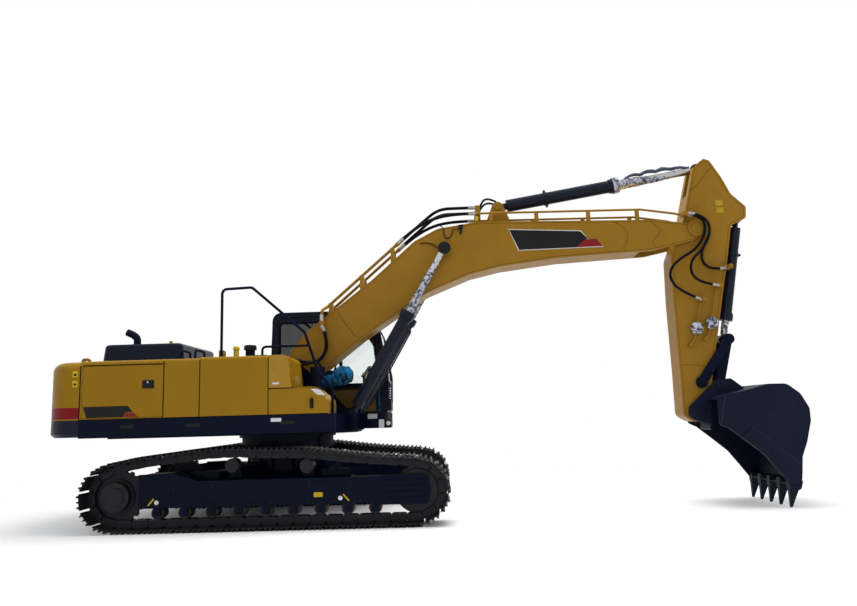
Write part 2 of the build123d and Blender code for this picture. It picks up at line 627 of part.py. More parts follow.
def make_cab_shell():
    """The cab's frame, floor and roof, hollow, with its windows and doorway cut."""
    inner = (CAB_Y[0] + CAB_WALL, CAB_Y[1] - CAB_WALL)
    with BuildPart() as cab_shell:
        slab(cab_rows(0), CAB_Y)
        slab(cab_rows(CAB_WALL), inner, mode=Mode.SUBTRACT)
        through = (CAB_Y[0] - 5, CAB_Y[0] + CAB_WALL + 5)
        slab(RIGHT_PANE, through, mode=Mode.SUBTRACT)
        slab(RIGHT_REAR_PANE, through, mode=Mode.SUBTRACT)
        outside = (CAB_Y[1] - CAB_WALL - 5, CAB_Y[1] + 5)
        slab(door_rows(0), outside, mode=Mode.SUBTRACT)
        slab(LEFT_REAR_PANE, outside, mode=Mode.SUBTRACT)
        block(WINDSCREEN_X, WINDSCREEN_Y, WINDSCREEN_Z, mode=Mode.SUBTRACT)
        block((CAB_X[0] - 20, CAB_X[0] + 90), REAR_PANE_Y, REAR_PANE_Z, mode=Mode.SUBTRACT)
        knuckles((DOOR_X[0] + GAP, CAB_Y[1]), CAB_KNUCKLES, False)
    save(cab_shell, "cab_shell")


def door_rows(inset):
    """The cab door's outline, drawn in by inset."""
    return ((DOOR_X[0] + inset, DOOR_Z[0] + inset, 40), (DOOR_X[1] - inset, DOOR_Z[0] + inset, 60),
            (DOOR_X[1] + 60 - inset, 2050, 200), (DOOR_X[1] - 10 - inset, 2720, 200),
            (DOOR_X[1] - 190 - inset, DOOR_Z[1] - inset, 120), (DOOR_X[0] + inset, DOOR_Z[1] - inset, 60))


def make_cab_door():
    """The cab door's frame with its window cut, and its grab handle."""
    with BuildPart() as cab_door:
        slab(door_rows(GAP), (CAB_Y[1] - CAB_WALL + 5, CAB_Y[1]))
        slab(((DOOR_X[0] + 90, 1980, 60), (DOOR_X[1] - 40, 1980, 60), (DOOR_X[1] - 40, 2120, 150),
              (DOOR_X[1] - 100, 2650, 150), (DOOR_X[1] - 270, 2920, 60), (DOOR_X[0] + 90, 2920, 60)),
             (CAB_Y[1] - CAB_WALL, CAB_Y[1] + 5), mode=Mode.SUBTRACT)
        slab(((DOOR_X[1] - 190, 1840, 20), (DOOR_X[1] - 60, 1840, 20), (DOOR_X[1] - 60, 1900, 20),
              (DOOR_X[1] - 190, 1900, 20)), (CAB_Y[1] - 2, CAB_Y[1] + 12))
        knuckles((DOOR_X[0] + GAP, CAB_Y[1]), CAB_KNUCKLES, True)
    save(cab_door, "cab_door")


def make_door_glass():
    """The pane in the cab door."""
    with BuildPart() as door_glass:
        slab(((DOOR_X[0] + 90, 1980, 60), (DOOR_X[1] - 40, 1980, 60), (DOOR_X[1] - 40, 2120, 150),
              (DOOR_X[1] - 100, 2650, 150), (DOOR_X[1] - 270, 2920, 60), (DOOR_X[0] + 90, 2920, 60)),
             (CAB_Y[1] - 26, CAB_Y[1] - 26 + GLASS))
    save(door_glass, "door_glass")


def make_cab_glass():
    """The fixed panes: both on the right, the left rear one, the rear one and the windscreen."""
    with BuildPart() as cab_glass:
        slab(cab_rows(15), WINDSCREEN_Y)
        slab(cab_rows(15 + GLASS), WINDSCREEN_Y, mode=Mode.SUBTRACT)
        block(WINDSCREEN_X, WINDSCREEN_Y, WINDSCREEN_Z, mode=Mode.INTERSECT)
        right = (CAB_Y[0] + 15, CAB_Y[0] + 15 + GLASS)
        slab(RIGHT_PANE, right)
        slab(RIGHT_REAR_PANE, right)
        slab(LEFT_REAR_PANE, (CAB_Y[1] - 26, CAB_Y[1] - 26 + GLASS))
        block((CAB_X[0] + 12, CAB_X[0] + 12 + GLASS), REAR_PANE_Y, REAR_PANE_Z)
    save(cab_glass, "cab_glass")


def make_seat():
    """The driver's seat on its box."""
    middle = (CAB_Y[0] + CAB_Y[1]) / 2
    floor = CAB_Z[0] + CAB_WALL
    with BuildPart() as seat:
        block((120, 560), (middle - 200, middle + 200), (floor, floor + 330))
        block((100, 620), (middle - 250, middle + 250), (floor + 330, floor + 470))
        slab(((60, floor + 440, 30), (210, floor + 440, 30), (110, floor + 1120, 60),
              (-20, floor + 1120, 60)),
             (middle - 240, middle + 240))
    save(seat, "seat")


def make_consoles():
    """Armrest consoles with their levers, and the travel levers and pedals."""
    middle = (CAB_Y[0] + CAB_Y[1]) / 2
    floor = CAB_Z[0] + CAB_WALL
    with BuildPart() as consoles:
        for hand in (-1, 1):
            y = either(hand, 270, 380)
            block((150, 700), (middle + y[0], middle + y[1]), (floor, floor + 620))
            post((630, middle + hand * 325), 14, (floor + 600, floor + 760))
            post((630, middle + hand * 325), 28, (floor + 760, floor + 860))
            pedal = either(hand, 40, 140)
            block((1010, 1200), (middle + pedal[0], middle + pedal[1]), (floor, floor + 60))
            post((1060, middle + hand * 90), 14, (floor + 50, floor + 620))
    save(consoles, "consoles")


# ---------------------------------------------------------------- boom, arm and bucket
BOOM_ROWS = ((30, 2150, 90), (90, 2440, 120), (320, 2710, 200), (1330, 3480, 0), (2000, 4070, 300),
             (2370, 4260, 300), (3000, 4350, 400), (5700, 4290, 200), (6360, 4200, 140), (6440, 4060, 120),
             (6250, 3940, 100), (5640, 3810, 300), (5070, 3785, 0), (4220, 3743, 0), (3320, 3635, 0),
             (2850, 3530, 300), (2180, 3262, 300), (1180, 2600, 0), (500, 2070, 200), (250, 1960, 120))
ARM_ROWS = ((6550, 5262, 40), (6640, 5230, 60), (6800, 4960, 0), (6930, 4680, 0), (7140, 4470, 40),
            (7130, 4290, 60), (6890, 4180, 80), (6770, 3560, 0), (6650, 3020, 0), (6400, 1820, 0),
            (6290, 1330, 100), (6120, 1190, 110), (5930, 1300, 110), (5930, 1980, 0), (5915, 3040, 200),
            (5930, 3700, 200), (6180, 4330, 100), (6380, 5130, 110))


def make_boom():
    """The boom: one box girder, forked at its tip, with bosses and the arm cylinder's lugs."""
    with BuildPart() as boom:
        slab(BOOM_ROWS, (-BOOM_HALF, BOOM_HALF))
        cross(TIP_PIN, FORK_R, (-ARM_HALF - 12, ARM_HALF + 12), mode=Mode.SUBTRACT)
        slab([(*spot, 0) for spot in TUCK], (-ARM_HALF - 12, ARM_HALF + 12), mode=Mode.SUBTRACT)
        cross(FOOT_PIN, 150, (-282, 282))
        cross(FOOT_PIN, FOOT_PIN_R + RUN, (-300, 300), mode=Mode.SUBTRACT)
        cross(BOOM_ROD_PIN, 105, (-285, 285))
        for hand in (-1, 1):
            slab(((3100, 4300, 0), (3540, 4300, 0), (3400, 4650, 80), (3320, 4745, 80), (3235, 4650, 80)),
                 either(hand, 72, 112))
            cross(TIP_PIN, 130, either(hand, ARM_HALF + 12, BOOM_HALF + 22))
            cross(ARM_BASE_PIN, 60, either(hand, 112, 126))
        cross(ARM_BASE_PIN, ARM_BASE_R, (-80, 80))
        cross(TIP_PIN, TIP_PIN_R, (-BOOM_HALF, BOOM_HALF))
    save(boom, "boom")


def make_boom_pipes():
    """Steel pipes along the boom's top, broken at the knee, with their clamps and end fittings."""
    inner, outer = PIPES_Y
    start, end = LOWER_PIPE
    with BuildPart() as boom_pipes:
        for y, beside in zip(PIPES_Y, SIDE_PIPES_Y):
            bar(start, end, PIPE_R, y)
            tube(((end[0], -y, end[1]), (start[0] + 60, -y, start[1] + 52),
                  (start[0] - 5, -beside, start[1] - 30),
                  (start[0] - 5, -beside, start[1] - 200)), PIPE_R, 50)
            for hand in (-1, 1):
                bar(between(start, end, 0.97), end, PIPE_R + 9, hand * y)
        block((start[0] - 35, start[0] + 25), (-SIDE_PIPES_Y[1] - 30, -BOOM_HALF),
              (start[1] - 255, start[1] - 195))
        for hand in (-1, 1):
            tube([(x, hand * outer, z) for x, z in UPPER_PIPE], PIPE_R, 120)
            bar(UPPER_PIPE[0], between(*UPPER_PIPE[:2], 0.02), PIPE_R + 9, hand * outer)
            block((2960, 3040), either(hand, inner - 27, inner + 27), (4335, 4630))
            for x in (700, 1180, 1660):
                share = (x - start[0]) / (end[0] - start[0])
                height = between(start, end, share)[1]
                block((x - 30, x + 30), either(hand, inner - 25, outer + 25), (height - 225, height))
            for x in (3200, 3900, 4700, 5450):
                block((x - 30, x + 30), either(hand, outer - 17, outer + 20), (4270, 4478))
        block((6110, 6190), (-385, -ARM_HALF - 20), (4320, 4384))
    save(boom_pipes, "boom_pipes")


def make_knee_hoses():
    """Hoses that carry the pipes round the boom's knee, and the arm cylinder's supply."""
    start, end = LOWER_PIPE
    gap = RUN / distance(start, end)
    with BuildPart() as knee_hoses:
        for hand in (-1, 1):
            y = hand * PIPES_Y[1]
            rows = (between(start, end, 1 + gap), between(start, end, 1.2), (2300, 4435),
                    between(*UPPER_PIPE[:2], -0.12), between(*UPPER_PIPE[:2], -RUN / 2500))
            tube([(x, y, z) for x, z in rows], KNEE_HOSE_R, 250)
            y = hand * PIPES_Y[0]
            rows = (between(start, end, 1 + gap), between(start, end, 1.35), (2390, 4595), (2700, 4600),
                    (2960 - RUN, 4600))
            tube([(x, y, z) for x, z in rows], KNEE_HOSE_R, 200)
    save(knee_hoses, "knee_hoses")


# Cylinders: pin to pin when closed, and from the base pin to the barrel's head.
BOOM_CLOSED, ARM_CLOSED, BUCKET_CLOSED = 1962, 2234, 1926
BOOM_BARREL, ARM_BARREL, BUCKET_BARREL = 1745, 1940, 1620


def make_barrel(name, base, rod, head, radius, bore, places, pin_r):
    """The barrels of a cylinder set: eye, neck, tube bored for its rod, and head collar."""
    length = distance(base, rod)
    end = between(base, rod, head / length)
    with BuildPart() as barrel:
        for y in places:
            bar(base, between(base, rod, BARREL_BASE / length), radius - 44, y)
            bar(between(base, rod, BARREL_BASE / length), end, radius, y)
            bar(between(base, end, 0.93), end, radius + 16, y)
            cross(base, pin_r + 32, (y - 40, y + 40))
            bar(between(base, rod, BORE_BASE / length), between(base, end, 1.02), bore + RUN, y,
                mode=Mode.SUBTRACT)
            cross(base, pin_r + RUN, (y - 60, y + 60), mode=Mode.SUBTRACT)
    save(barrel, name)


def make_rod(name, base, rod, closed, radius, places, half):
    """The rods of a cylinder set, each with its eye and its own piece of pin."""
    length = distance(base, rod)
    start = between(base, rod, (BORE_BASE + 5 + length - closed) / length)
    with BuildPart() as piston:
        for y in places:
            bar(start, between(base, rod, 0.985), radius, y)
            cross(rod, radius + 32, (y - half, y + half))
    save(piston, name)


def make_arm():
    """The arm: box girder with ears for both cylinders and bosses for the bucket's pins."""
    with BuildPart() as arm:
        slab(ARM_ROWS, (-ARM_HALF, ARM_HALF))
        slab(((6250, 4700, 0), (6900, 4700, 0), (6980, 4860, 0), (6800, 5300, 0), (6250, 5300, 0)),
             (-90, 90),
             mode=Mode.SUBTRACT)
        slab(((6850, 4060, 0), (7250, 4060, 0), (7250, 4560, 0), (6900, 4560, 0)), (-90, 90),
             mode=Mode.SUBTRACT)
        cross(TIP_PIN, 125, (-ARM_HALF - 8, ARM_HALF + 8))
        cross(TIP_PIN, TIP_PIN_R + RUN, (-ARM_HALF - 9, ARM_HALF + 9), mode=Mode.SUBTRACT)
        cross(BUCKET_BASE_PIN, BUCKET_BASE_R, (-95, 95))
        cross(BUCKET_PIN, 95, (-ARM_HALF - 6, ARM_HALF + 6))
        cross(BUCKET_PIN, BUCKET_PIN_R + RUN, (-ARM_HALF - 7, ARM_HALF + 7), mode=Mode.SUBTRACT)
        cross(SIDE_PIN, 70, (-ARM_HALF - 12, ARM_HALF + 12))
        cross(SIDE_PIN, SIDE_PIN_R, (-ARM_HALF - 62, ARM_HALF + 62))
    save(arm, "arm")


def make_arm_pipes():
    """The two valves on the arm's right side, with their pipes and the hoses' end fittings."""
    y = -ARM_HALF - 45
    flank = (-ARM_HALF - 90, -ARM_HALF)
    with BuildPart() as arm_pipes:
        for x, z in ((6221, 2600), (6451, 2668)):
            block((x - 50, x + 50), flank, (z - 60, z + 60))
        tube(((6320, y, 3000), (6280, y, 2880), (6221, y, 2600), (6170, y, 2420), (6090, y, 2330)), 14, 60)
        tube(((6572, y, 3210), (6513, y, 2995), (6451, y, 2668), (6390, y, 2480), (6310, y, 2426)), 14, 60)
        for x, z in ((6320, 3020), (6576, 3221), (6750, 3510)):
            block((x - 12, x + 38), (-385, -ARM_HALF), (z - 32, z + 32))
        for x, z in ((6115, 2345), (6340, 2432)):
            block((x - 25, x + 25), (y - 18, -ARM_HALF), (z - 20, z + 20))
    save(arm_pipes, "arm_pipes")


def make_side_links():
    """The two side links from the arm to the link pin, with that pin."""
    with BuildPart() as side_links:
        for hand in (-1, 1):
            y = either(hand, ARM_HALF + 14, ARM_HALF + 54)
            bar_plate(SIDE_PIN, LINK_PIN, 85, 78, y)
            cross(SIDE_PIN, SIDE_PIN_R + RUN, y, mode=Mode.SUBTRACT)
            cross(LINK_PIN, LINK_PIN_R, either(hand, 54, ARM_HALF + 60))
    save(side_links, "side_links")


def bar_plate(start, end, start_r, end_r, y):
    """A flat link with a round boss at each pin."""
    length = distance(start, end)
    across = ((start[1] - end[1]) / length, (end[0] - start[0]) / length)
    rows = []
    for pin, radius in ((start, start_r), (end, end_r)):
        rows.append((pin, radius * 0.8))
    (a, ra), (b, rb) = rows
    slab(((a[0] + across[0] * ra, a[1] + across[1] * ra, 0), (b[0] + across[0] * rb, b[1] + across[1] * rb,
                                                              0),
          (b[0] - across[0] * rb, b[1] - across[1] * rb, 0), (a[0] - across[0] * ra, a[1] - across[1] * ra,
                                                              0)), y)
    cross(start, start_r, y)
    cross(end, end_r, y)


def make_bucket_link():
    """The link from the link pin down to the bucket's ears."""
    with BuildPart() as bucket_link:
        bar_plate(LINK_PIN, EAR_PIN, 85, 85, (-185, 185))
        cross(LINK_PIN, 195, (-62, 62), mode=Mode.SUBTRACT)
        cross(LINK_PIN, LINK_PIN_R + RUN, (-190, 190), mode=Mode.SUBTRACT)
        cross(EAR_PIN, LINK_PIN_R, (-ARM_HALF - 16, ARM_HALF + 16))
    save(bucket_link, "bucket_link")


# Bucket in side view, rows of x, z and corner radius: back, mouth and the hollow's wall.
BUCKET_BACK = ((6275, 1560, 60), (6712, 1648, 0), (7000, 1725, 150), (7260, 1722, 150), (7440, 1580, 150),
               (MACHINE_FRONT, 1370, 100), (MACHINE_FRONT, 1190, 100), (7470, 900, 200), (7385, 700, 100),
               (7360, 470, 0), (7335, 320, 0))
BUCKET_MOUTH = ((7175, 320, 0), (7040, 505, 0), (6870, 725, 100), (6670, 895, 100), (6400, 1115, 80),
                (6270, 1175, 60))
BUCKET_HOLLOW = ((6325, 1541, 40), (6724, 1618, 0), (7006, 1694, 120), (7246, 1691, 120), (7410, 1560, 120),
                 (MACHINE_FRONT - 29, 1364, 80), (MACHINE_FRONT - 29, 1197, 80), (7440, 908, 170),
                 (7356, 706, 80),
                 (7331, 475, 0), (7300, 290, 0), (7130, 290, 0), (6990, 420, 40), (6830, 650, 60),
                 (6630, 830, 60), (6370, 1050, 0), (6160, 1100, 0), (6160, 1480, 0))
CUTTER = ((7330, 322, 0), (7176, 322, 0), (7040, 507, 0), (6870, 727, 100), (6670, 897, 100), (6560, 990, 0),
          (6720, 1120, 0), (7000, 900, 100), (7340, 600, 0))
BUCKET_EAR = ((6010, 1290, 90), (6160, 1205, 60), (6305, 1180, 0), (6330, 1400, 0), (6380, 1572, 0),
              (6712, 1635, 0), (6850, 1675, 0), (6650, 1835, 60), (6440, 1815, 90), (6010, 1430, 90))


def make_bucket():
    """The bucket: wrapped shell, side cutters, ears and teeth."""
    plate = 28
    ear = ARM_HALF + 20
    with BuildPart() as bucket:
        slab(BUCKET_BACK + BUCKET_MOUTH, (-BUCKET_HALF, BUCKET_HALF))
        slab(BUCKET_HOLLOW, (-BUCKET_HALF + plate, BUCKET_HALF - plate), mode=Mode.SUBTRACT)
        slab(((6100, 1720, 0), (6392, 1560, 0), (6302, 1060, 0), (6100, 1000, 0)), (-ear, ear),
             mode=Mode.SUBTRACT)
        slab(((6392, 1575, 0), (6420, 1580, 0), (6330, 1085, 0), (6302, 1095, 0)), (-ear, ear))
        for hand in (-1, 1):
            slab(CUTTER, either(hand, BUCKET_HALF - 2, BUCKET_HALF + 16))
            slab(BUCKET_EAR, either(hand, ear, ear + 45))
            cross(BUCKET_PIN, 100, either(hand, ear, ear + 60))
            cross(BUCKET_PIN, BUCKET_PIN_R, either(hand, 0, ear + 5))
            cross(EAR_PIN, 85, either(hand, ear, ear + 60))
        for step in range(TEETH):
            y = (BUCKET_HALF - 60) * (2 * step / (TEETH - 1) - 1)
            with BuildSketch(Plane.XY.offset(TOOTH_Z[1])):
                with Locations((7258, y)):
                    Rectangle(170, 104)
            with BuildSketch(Plane.XY.offset(TOOTH_Z[0])):
                with Locations((7184, y)):
                    Rectangle(26, 34)
            loft()
    save(bucket, "bucket")


# ---------------------------------------------------------------- hoses that bend at a joint
def make_boom_hoses():
    """Hoses from the boom's foot pipes down to the valve on the revolving frame."""
    with BuildPart() as boom_hoses:
        for y in SIDE_PIPES_Y:
            tube(((587, -y, 2788.9), (700, -y, 2500), (520, -y, 2200), (60, -y, 2315), (-198, -y, 2315)),
                 HOSE_R, 170)
    save(boom_hoses, "boom_hoses")


def make_control_valve():
    """The valve beside the boom's foot that the boom's hoses come from."""
    with BuildPart() as control_valve:
        block((-430, -200), (-585, -330), (DECK_Z[1], 2360))
    save(control_valve, "control_valve")


# Arm hoses as rows of y, then their points x, z from the boom's fitting to the arm's.
ARM_HOSES = (
    (-310, ((6195, 4352), (6420, 4310), (6463, 4080), (6300, 3800), (5960, 3620), (5830, 3400), (5980, 3160),
            (6299.8, 3023))),
    (-358, ((6195, 4352), (6440, 4310), (6520, 4060), (6370, 3780), (6190, 3640), (6150, 3430), (6290, 3270),
            (6560.1, 3221))),
    (-250,
     ((6191.2, 4352), (6470, 4340), (6570, 4100), (6380, 3780), (6380, 3600), (6520, 3480), (6733, 3509))),
)


def make_arm_hoses():
    """Hoses looping from the boom's tip to the arm."""
    with BuildPart() as arm_hoses:
        for y, rows in ARM_HOSES:
            tube([(x, y, z) for x, z in rows], ARM_HOSE_R, 150)
    save(arm_hoses, "arm_hoses")


# ---------------------------------------------------------------- building and saving
def save(piece, name):
    """Moves a finished piece to the common origin, labels it and writes its file."""
    piece.part = piece.part.moved(Location((SHIFT_X, 0, 0)))
    piece.part.label = name
    export_step(piece.part, "parts/" + name + ".step")


os.makedirs("parts", exist_ok=True)
for name, hand in (("right", -1), ("left", 1)):
    make_track("track_" + name, hand)
    make_track_frame("track_frame_" + name, hand)
make_sprockets()
make_idlers()
make_rollers()
make_car_body()
make_swing_ring()

make_main_frame()
make_side_decks()
make_counterweight()
make_engine_block()
make_housing()
for row in SIDE_DOORS:
    make_door(*row)
make_engine_hood()
make_exhaust()
make_hydraulic_tank()
make_fuel_tank()
make_toolbox()
make_toolbox_lid()
make_top_fittings()
make_grab_hoops()
make_swing_motor()
make_control_valve()
make_handrail()

make_cab_shell()
make_cab_glass()
make_cab_door()
make_door_glass()
make_seat()
make_consoles()

make_boom()
make_boom_pipes()
make_knee_hoses()
make_boom_hoses()
make_barrel("boom_barrels", BOOM_BASE_PIN, BOOM_ROD_PIN, BOOM_BARREL, 90, 50, (-CYLINDER_Y, CYLINDER_Y),
            BOOM_BASE_R)
make_rod("boom_rods", BOOM_BASE_PIN, BOOM_ROD_PIN, BOOM_CLOSED, 50, (-CYLINDER_Y, CYLINDER_Y), 40)
make_barrel("arm_barrel", ARM_BASE_PIN, ARM_ROD_PIN, ARM_BARREL, 98, 54, (0,), ARM_BASE_R)
make_rod("arm_rod", ARM_BASE_PIN, ARM_ROD_PIN, ARM_CLOSED, 54, (0,), 55)
make_arm()
make_arm_pipes()
make_arm_hoses()
make_barrel("bucket_barrel", BUCKET_BASE_PIN, LINK_PIN, BUCKET_BARREL, 85, 46, (0,), BUCKET_BASE_R)
make_rod("bucket_rod", BUCKET_BASE_PIN, LINK_PIN, BUCKET_CLOSED, 46, (0,), 50)
make_side_links()
make_bucket_link()
make_bucket()
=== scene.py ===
import math

import bmesh
import bpy
import numpy as np
from mathutils import Matrix, Vector


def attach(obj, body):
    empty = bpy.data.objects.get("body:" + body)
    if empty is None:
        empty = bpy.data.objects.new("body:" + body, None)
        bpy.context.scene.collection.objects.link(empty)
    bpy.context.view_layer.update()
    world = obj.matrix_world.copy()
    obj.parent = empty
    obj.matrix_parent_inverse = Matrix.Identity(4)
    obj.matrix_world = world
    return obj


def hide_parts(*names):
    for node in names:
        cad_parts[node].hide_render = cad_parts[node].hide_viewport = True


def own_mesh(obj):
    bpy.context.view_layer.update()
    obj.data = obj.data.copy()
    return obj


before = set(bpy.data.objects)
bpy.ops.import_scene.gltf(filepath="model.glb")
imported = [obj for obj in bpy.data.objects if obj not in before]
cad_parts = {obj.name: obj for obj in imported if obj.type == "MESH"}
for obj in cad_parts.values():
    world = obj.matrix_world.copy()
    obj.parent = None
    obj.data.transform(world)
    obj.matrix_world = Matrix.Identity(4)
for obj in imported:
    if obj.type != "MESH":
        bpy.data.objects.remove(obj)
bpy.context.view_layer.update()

scene = bpy.context.scene
scene.view_settings.view_transform = "Standard"

# ---------------------------------------------------------------- camera
# Stands on the machine's right, a little ahead of the slew axis and at chest height,
# looking slightly up at the boom.
yaw, pitch, roll = 0.0171, 0.1509, -0.0282
forward = Vector((-math.sin(yaw) * math.cos(pitch), math.cos(yaw) * math.cos(pitch), math.sin(pitch)))
level = Vector((math.cos(yaw), math.sin(yaw), 0.0))
above = level.cross(forward)
right = math.cos(roll) * level + math.sin(roll) * above
up = right.cross(forward)
camera_data = bpy.data.cameras.new("camera")
camera_data.lens = 30.86
camera_data.sensor_width = 36.0
camera_data.clip_end = 200.0
camera = bpy.data.objects.new("camera", camera_data)
turn = Matrix((right, up, -forward)).transposed()
camera.matrix_world = Matrix.Translation((0.2275, -11.311, 1.422)) @ turn.to_4x4()
scene.collection.objects.link(camera)
scene.camera = camera


# ---------------------------------------------------------------- hydraulic hoses
# Wire-braided rubber hoses with crimped steel ends: two from the valve to the boom's foot,
# four over the boom's knee, and three that loop from the boom's tip to the arm. Each is a
# smooth spline through the same route points as its solid.
slew_axis = np.array([-2.1555, 0.0, 0.0])       # every piece's own points are measured from here


def add_nodes(tree, *kinds):
    """New shader nodes of these kinds in a tree, in order."""
    return [tree.nodes.new("ShaderNode" + kind) for kind in kinds]


def wire(tree, node, sources):
    """Gives a node's inputs, by name or number, their sources: a link from an output, or else a plain value."""
    for key, source in sources.items():
        if isinstance(source, bpy.types.NodeSocket):
            tree.links.new(source, node.inputs[key])
        else:
            node.inputs[key].default_value = source


def calc(tree, operation, *values):
    """The output of a math node at work on values, which are outputs or plain numbers."""
    node = tree.nodes.new("ShaderNodeMath")
    node.operation = operation
    wire(tree, node, dict(enumerate(values)))
    return node.outputs[0]


def mixed(tree, share, first, second):
    """The output of a colour mix: first where share is 0 and second where it is 1."""
    node = tree.nodes.new("ShaderNodeMix")
    node.data_type = "RGBA"
    wire(tree, node, {"Factor": share, "A": first, "B": second})
    return node.outputs["Result"]


def weathering_and_sheen():
    """Colour and height of a used surface, from noises on Object coordinates: broad patches of a
    slightly lighter or darker colour, fine grain, and dust that gathers on faces turned upwards. On the wrapping films
    and foils the patches are strong, as painted highlights and reflections of the crumples, and the dust colour is a
    tone of the film itself; on the teal film it is lighter, a painted highlight on faces turned upwards."""
    if "weathering_and_sheen" in bpy.data.node_groups:
        return bpy.data.node_groups["weathering_and_sheen"]
    group = bpy.data.node_groups.new("weathering_and_sheen", "ShaderNodeTree")
    for name, kind, value in (("Colour", "Color", (0.5, 0.5, 0.5, 1)), ("Dust And Sheen Colour", "Color", (0.3, 0.25, 0.2, 1)),
                              ("Dust", "Float", 0.2), ("Patches", "Float", 0.15), ("Roughness", "Float", 0.4),
                              ("Grain Scale", "Float", 120.0)):
        socket = group.interface.new_socket(name, in_out="INPUT", socket_type="NodeSocket" + kind)
        socket.default_value = value
    for name, kind in (("Colour", "Color"), ("Roughness", "Float"), ("Height", "Float")):
        group.interface.new_socket(name, in_out="OUTPUT", socket_type="NodeSocket" + kind)
    given, put = group.nodes.new("NodeGroupInput").outputs, group.nodes.new("NodeGroupOutput")
    place, broad, streaky, grain = add_nodes(group, "TexCoord", "TexNoise", "TexNoise", "TexNoise")
    for node, scale, detail, rough in ((broad, 0.9, 4.0, 0.55), (streaky, 6.0, 6.0, 0.65),
                                       (grain, given["Grain Scale"], 2.0, 0.55)):
        wire(group, node, {"Vector": place.outputs["Object"], "Scale": scale, "Detail": detail, "Roughness": rough})
    broad, streaks, grain = (node.outputs["Fac"] for node in (broad, streaky, grain))
    shade, normal, split, lie = add_nodes(group, "HueSaturation", "NewGeometry", "SeparateXYZ", "MapRange")
    mood = calc(group, "ADD", calc(group, "MULTIPLY", broad, 0.65), calc(group, "MULTIPLY", streaks, 0.35))
    swing = calc(group, "MULTIPLY", calc(group, "SUBTRACT", mood, 0.5), given["Patches"])
    wire(group, shade, {"Value": calc(group, "MULTIPLY_ADD", swing, 2.4, 1.0), "Color": given["Colour"]})
    wire(group, split, {0: normal.outputs["Normal"]})
    upward = calc(group, "MULTIPLY_ADD", calc(group, "MAXIMUM", split.outputs["Z"], 0.0), 0.75, 0.25)
    wire(group, lie, {"From Min": 0.42, "From Max": 0.72, "Value": streaks})
    dust = calc(group, "MULTIPLY", calc(group, "MULTIPLY", lie.outputs[0], upward), given["Dust"])
    uneven = calc(group, "MULTIPLY_ADD", calc(group, "SUBTRACT", streaks, 0.5), 0.25, given["Roughness"])
    wire(group, put, {"Colour": mixed(group, dust, shade.outputs["Color"], given["Dust And Sheen Colour"]),
                      "Roughness": calc(group, "ADD", uneven, calc(group, "MULTIPLY", dust, 0.5)),
                      "Height": calc(group, "ADD", calc(group, "MULTIPLY", grain, 0.5),
                                      calc(group, "MULTIPLY", streaks, 0.5))})
    return group


def painted(name):
    """A new material, its node tree and its shader."""
    material = bpy.data.materials.new(name)
    material.use_nodes = True
    return material, material.node_tree, material.node_tree.nodes["Principled BSDF"]


def finish(name, colour, roughness=0.4, metallic=0.0, coat=0.0, specular=0.2, dust=0.2, patches=0.15, grain=120.0,
           bump=0.15, depth=0.002, dust_and_sheen_colour=(0.12, 0.09, 0.05)):
    """A rigid surface's material: the weathering group in a Principled BSDF, with this finish's values."""
    material, tree, shader = painted(name)
    worn, relief = add_nodes(tree, "Group", "Bump")
    worn.node_tree = weathering_and_sheen()
    wire(tree, worn, {"Colour": (*colour, 1), "Dust And Sheen Colour": (*dust_and_sheen_colour, 1), "Dust": dust, "Patches": patches,
                      "Roughness": roughness, "Grain Scale": grain})
    wire(tree, relief, {"Strength": bump, "Distance": depth, "Height": worn.outputs["Height"]})
    wire(tree, shader, {"Base Color": worn.outputs["Colour"], "Roughness": worn.outputs["Roughness"],
                        "Normal": relief.outputs["Normal"], "Metallic": metallic, "Coat Weight": coat,
                        "Coat Roughness": 0.12, "Specular IOR Level": specular})
    return material


def coat_nodes(material, *names):
    """Gives carried-over CAD nodes this material on every slot."""
    for name in names:
        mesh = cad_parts[name].data
        mesh.materials.clear()
        mesh.materials.append(material)


hose_rubber = finish("hose rubber", (0.004, 0.004, 0.006), roughness=0.55, specular=0.06, dust=0.05, patches=0.3,
                     grain=400.0, bump=0.35, depth=0.001)


def hose(name, body, node, thickness, route):
    """A hose along route, rows of x, y and z: one NURBS spline of order 3, clamped at both ends."""
    line = np.array(route) + slew_axis
    curve = bpy.data.curves.new(name, "CURVE")
    curve.dimensions = "3D"
    spline = curve.splines.new("NURBS")
    spline.points.add(len(line) - 1)
    spline.points.foreach_set("co", np.column_stack((line, np.ones(len(line)))).ravel())
    spline.order_u = 3
    spline.use_endpoint_u = True
    curve.resolution_u = 14
    curve.bevel_depth = thickness / 2
    curve.bevel_resolution = 5
    curve.use_fill_caps = True
    curve.materials.append(hose_rubber)
    piece = bpy.data.objects.new(name, curve)
    scene.collection.objects.link(piece)
    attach(piece, body)
    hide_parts(node)


def at_y(y, route):
    """A route of x and z at one y."""
    return [(x, y, z) for x, z in route]


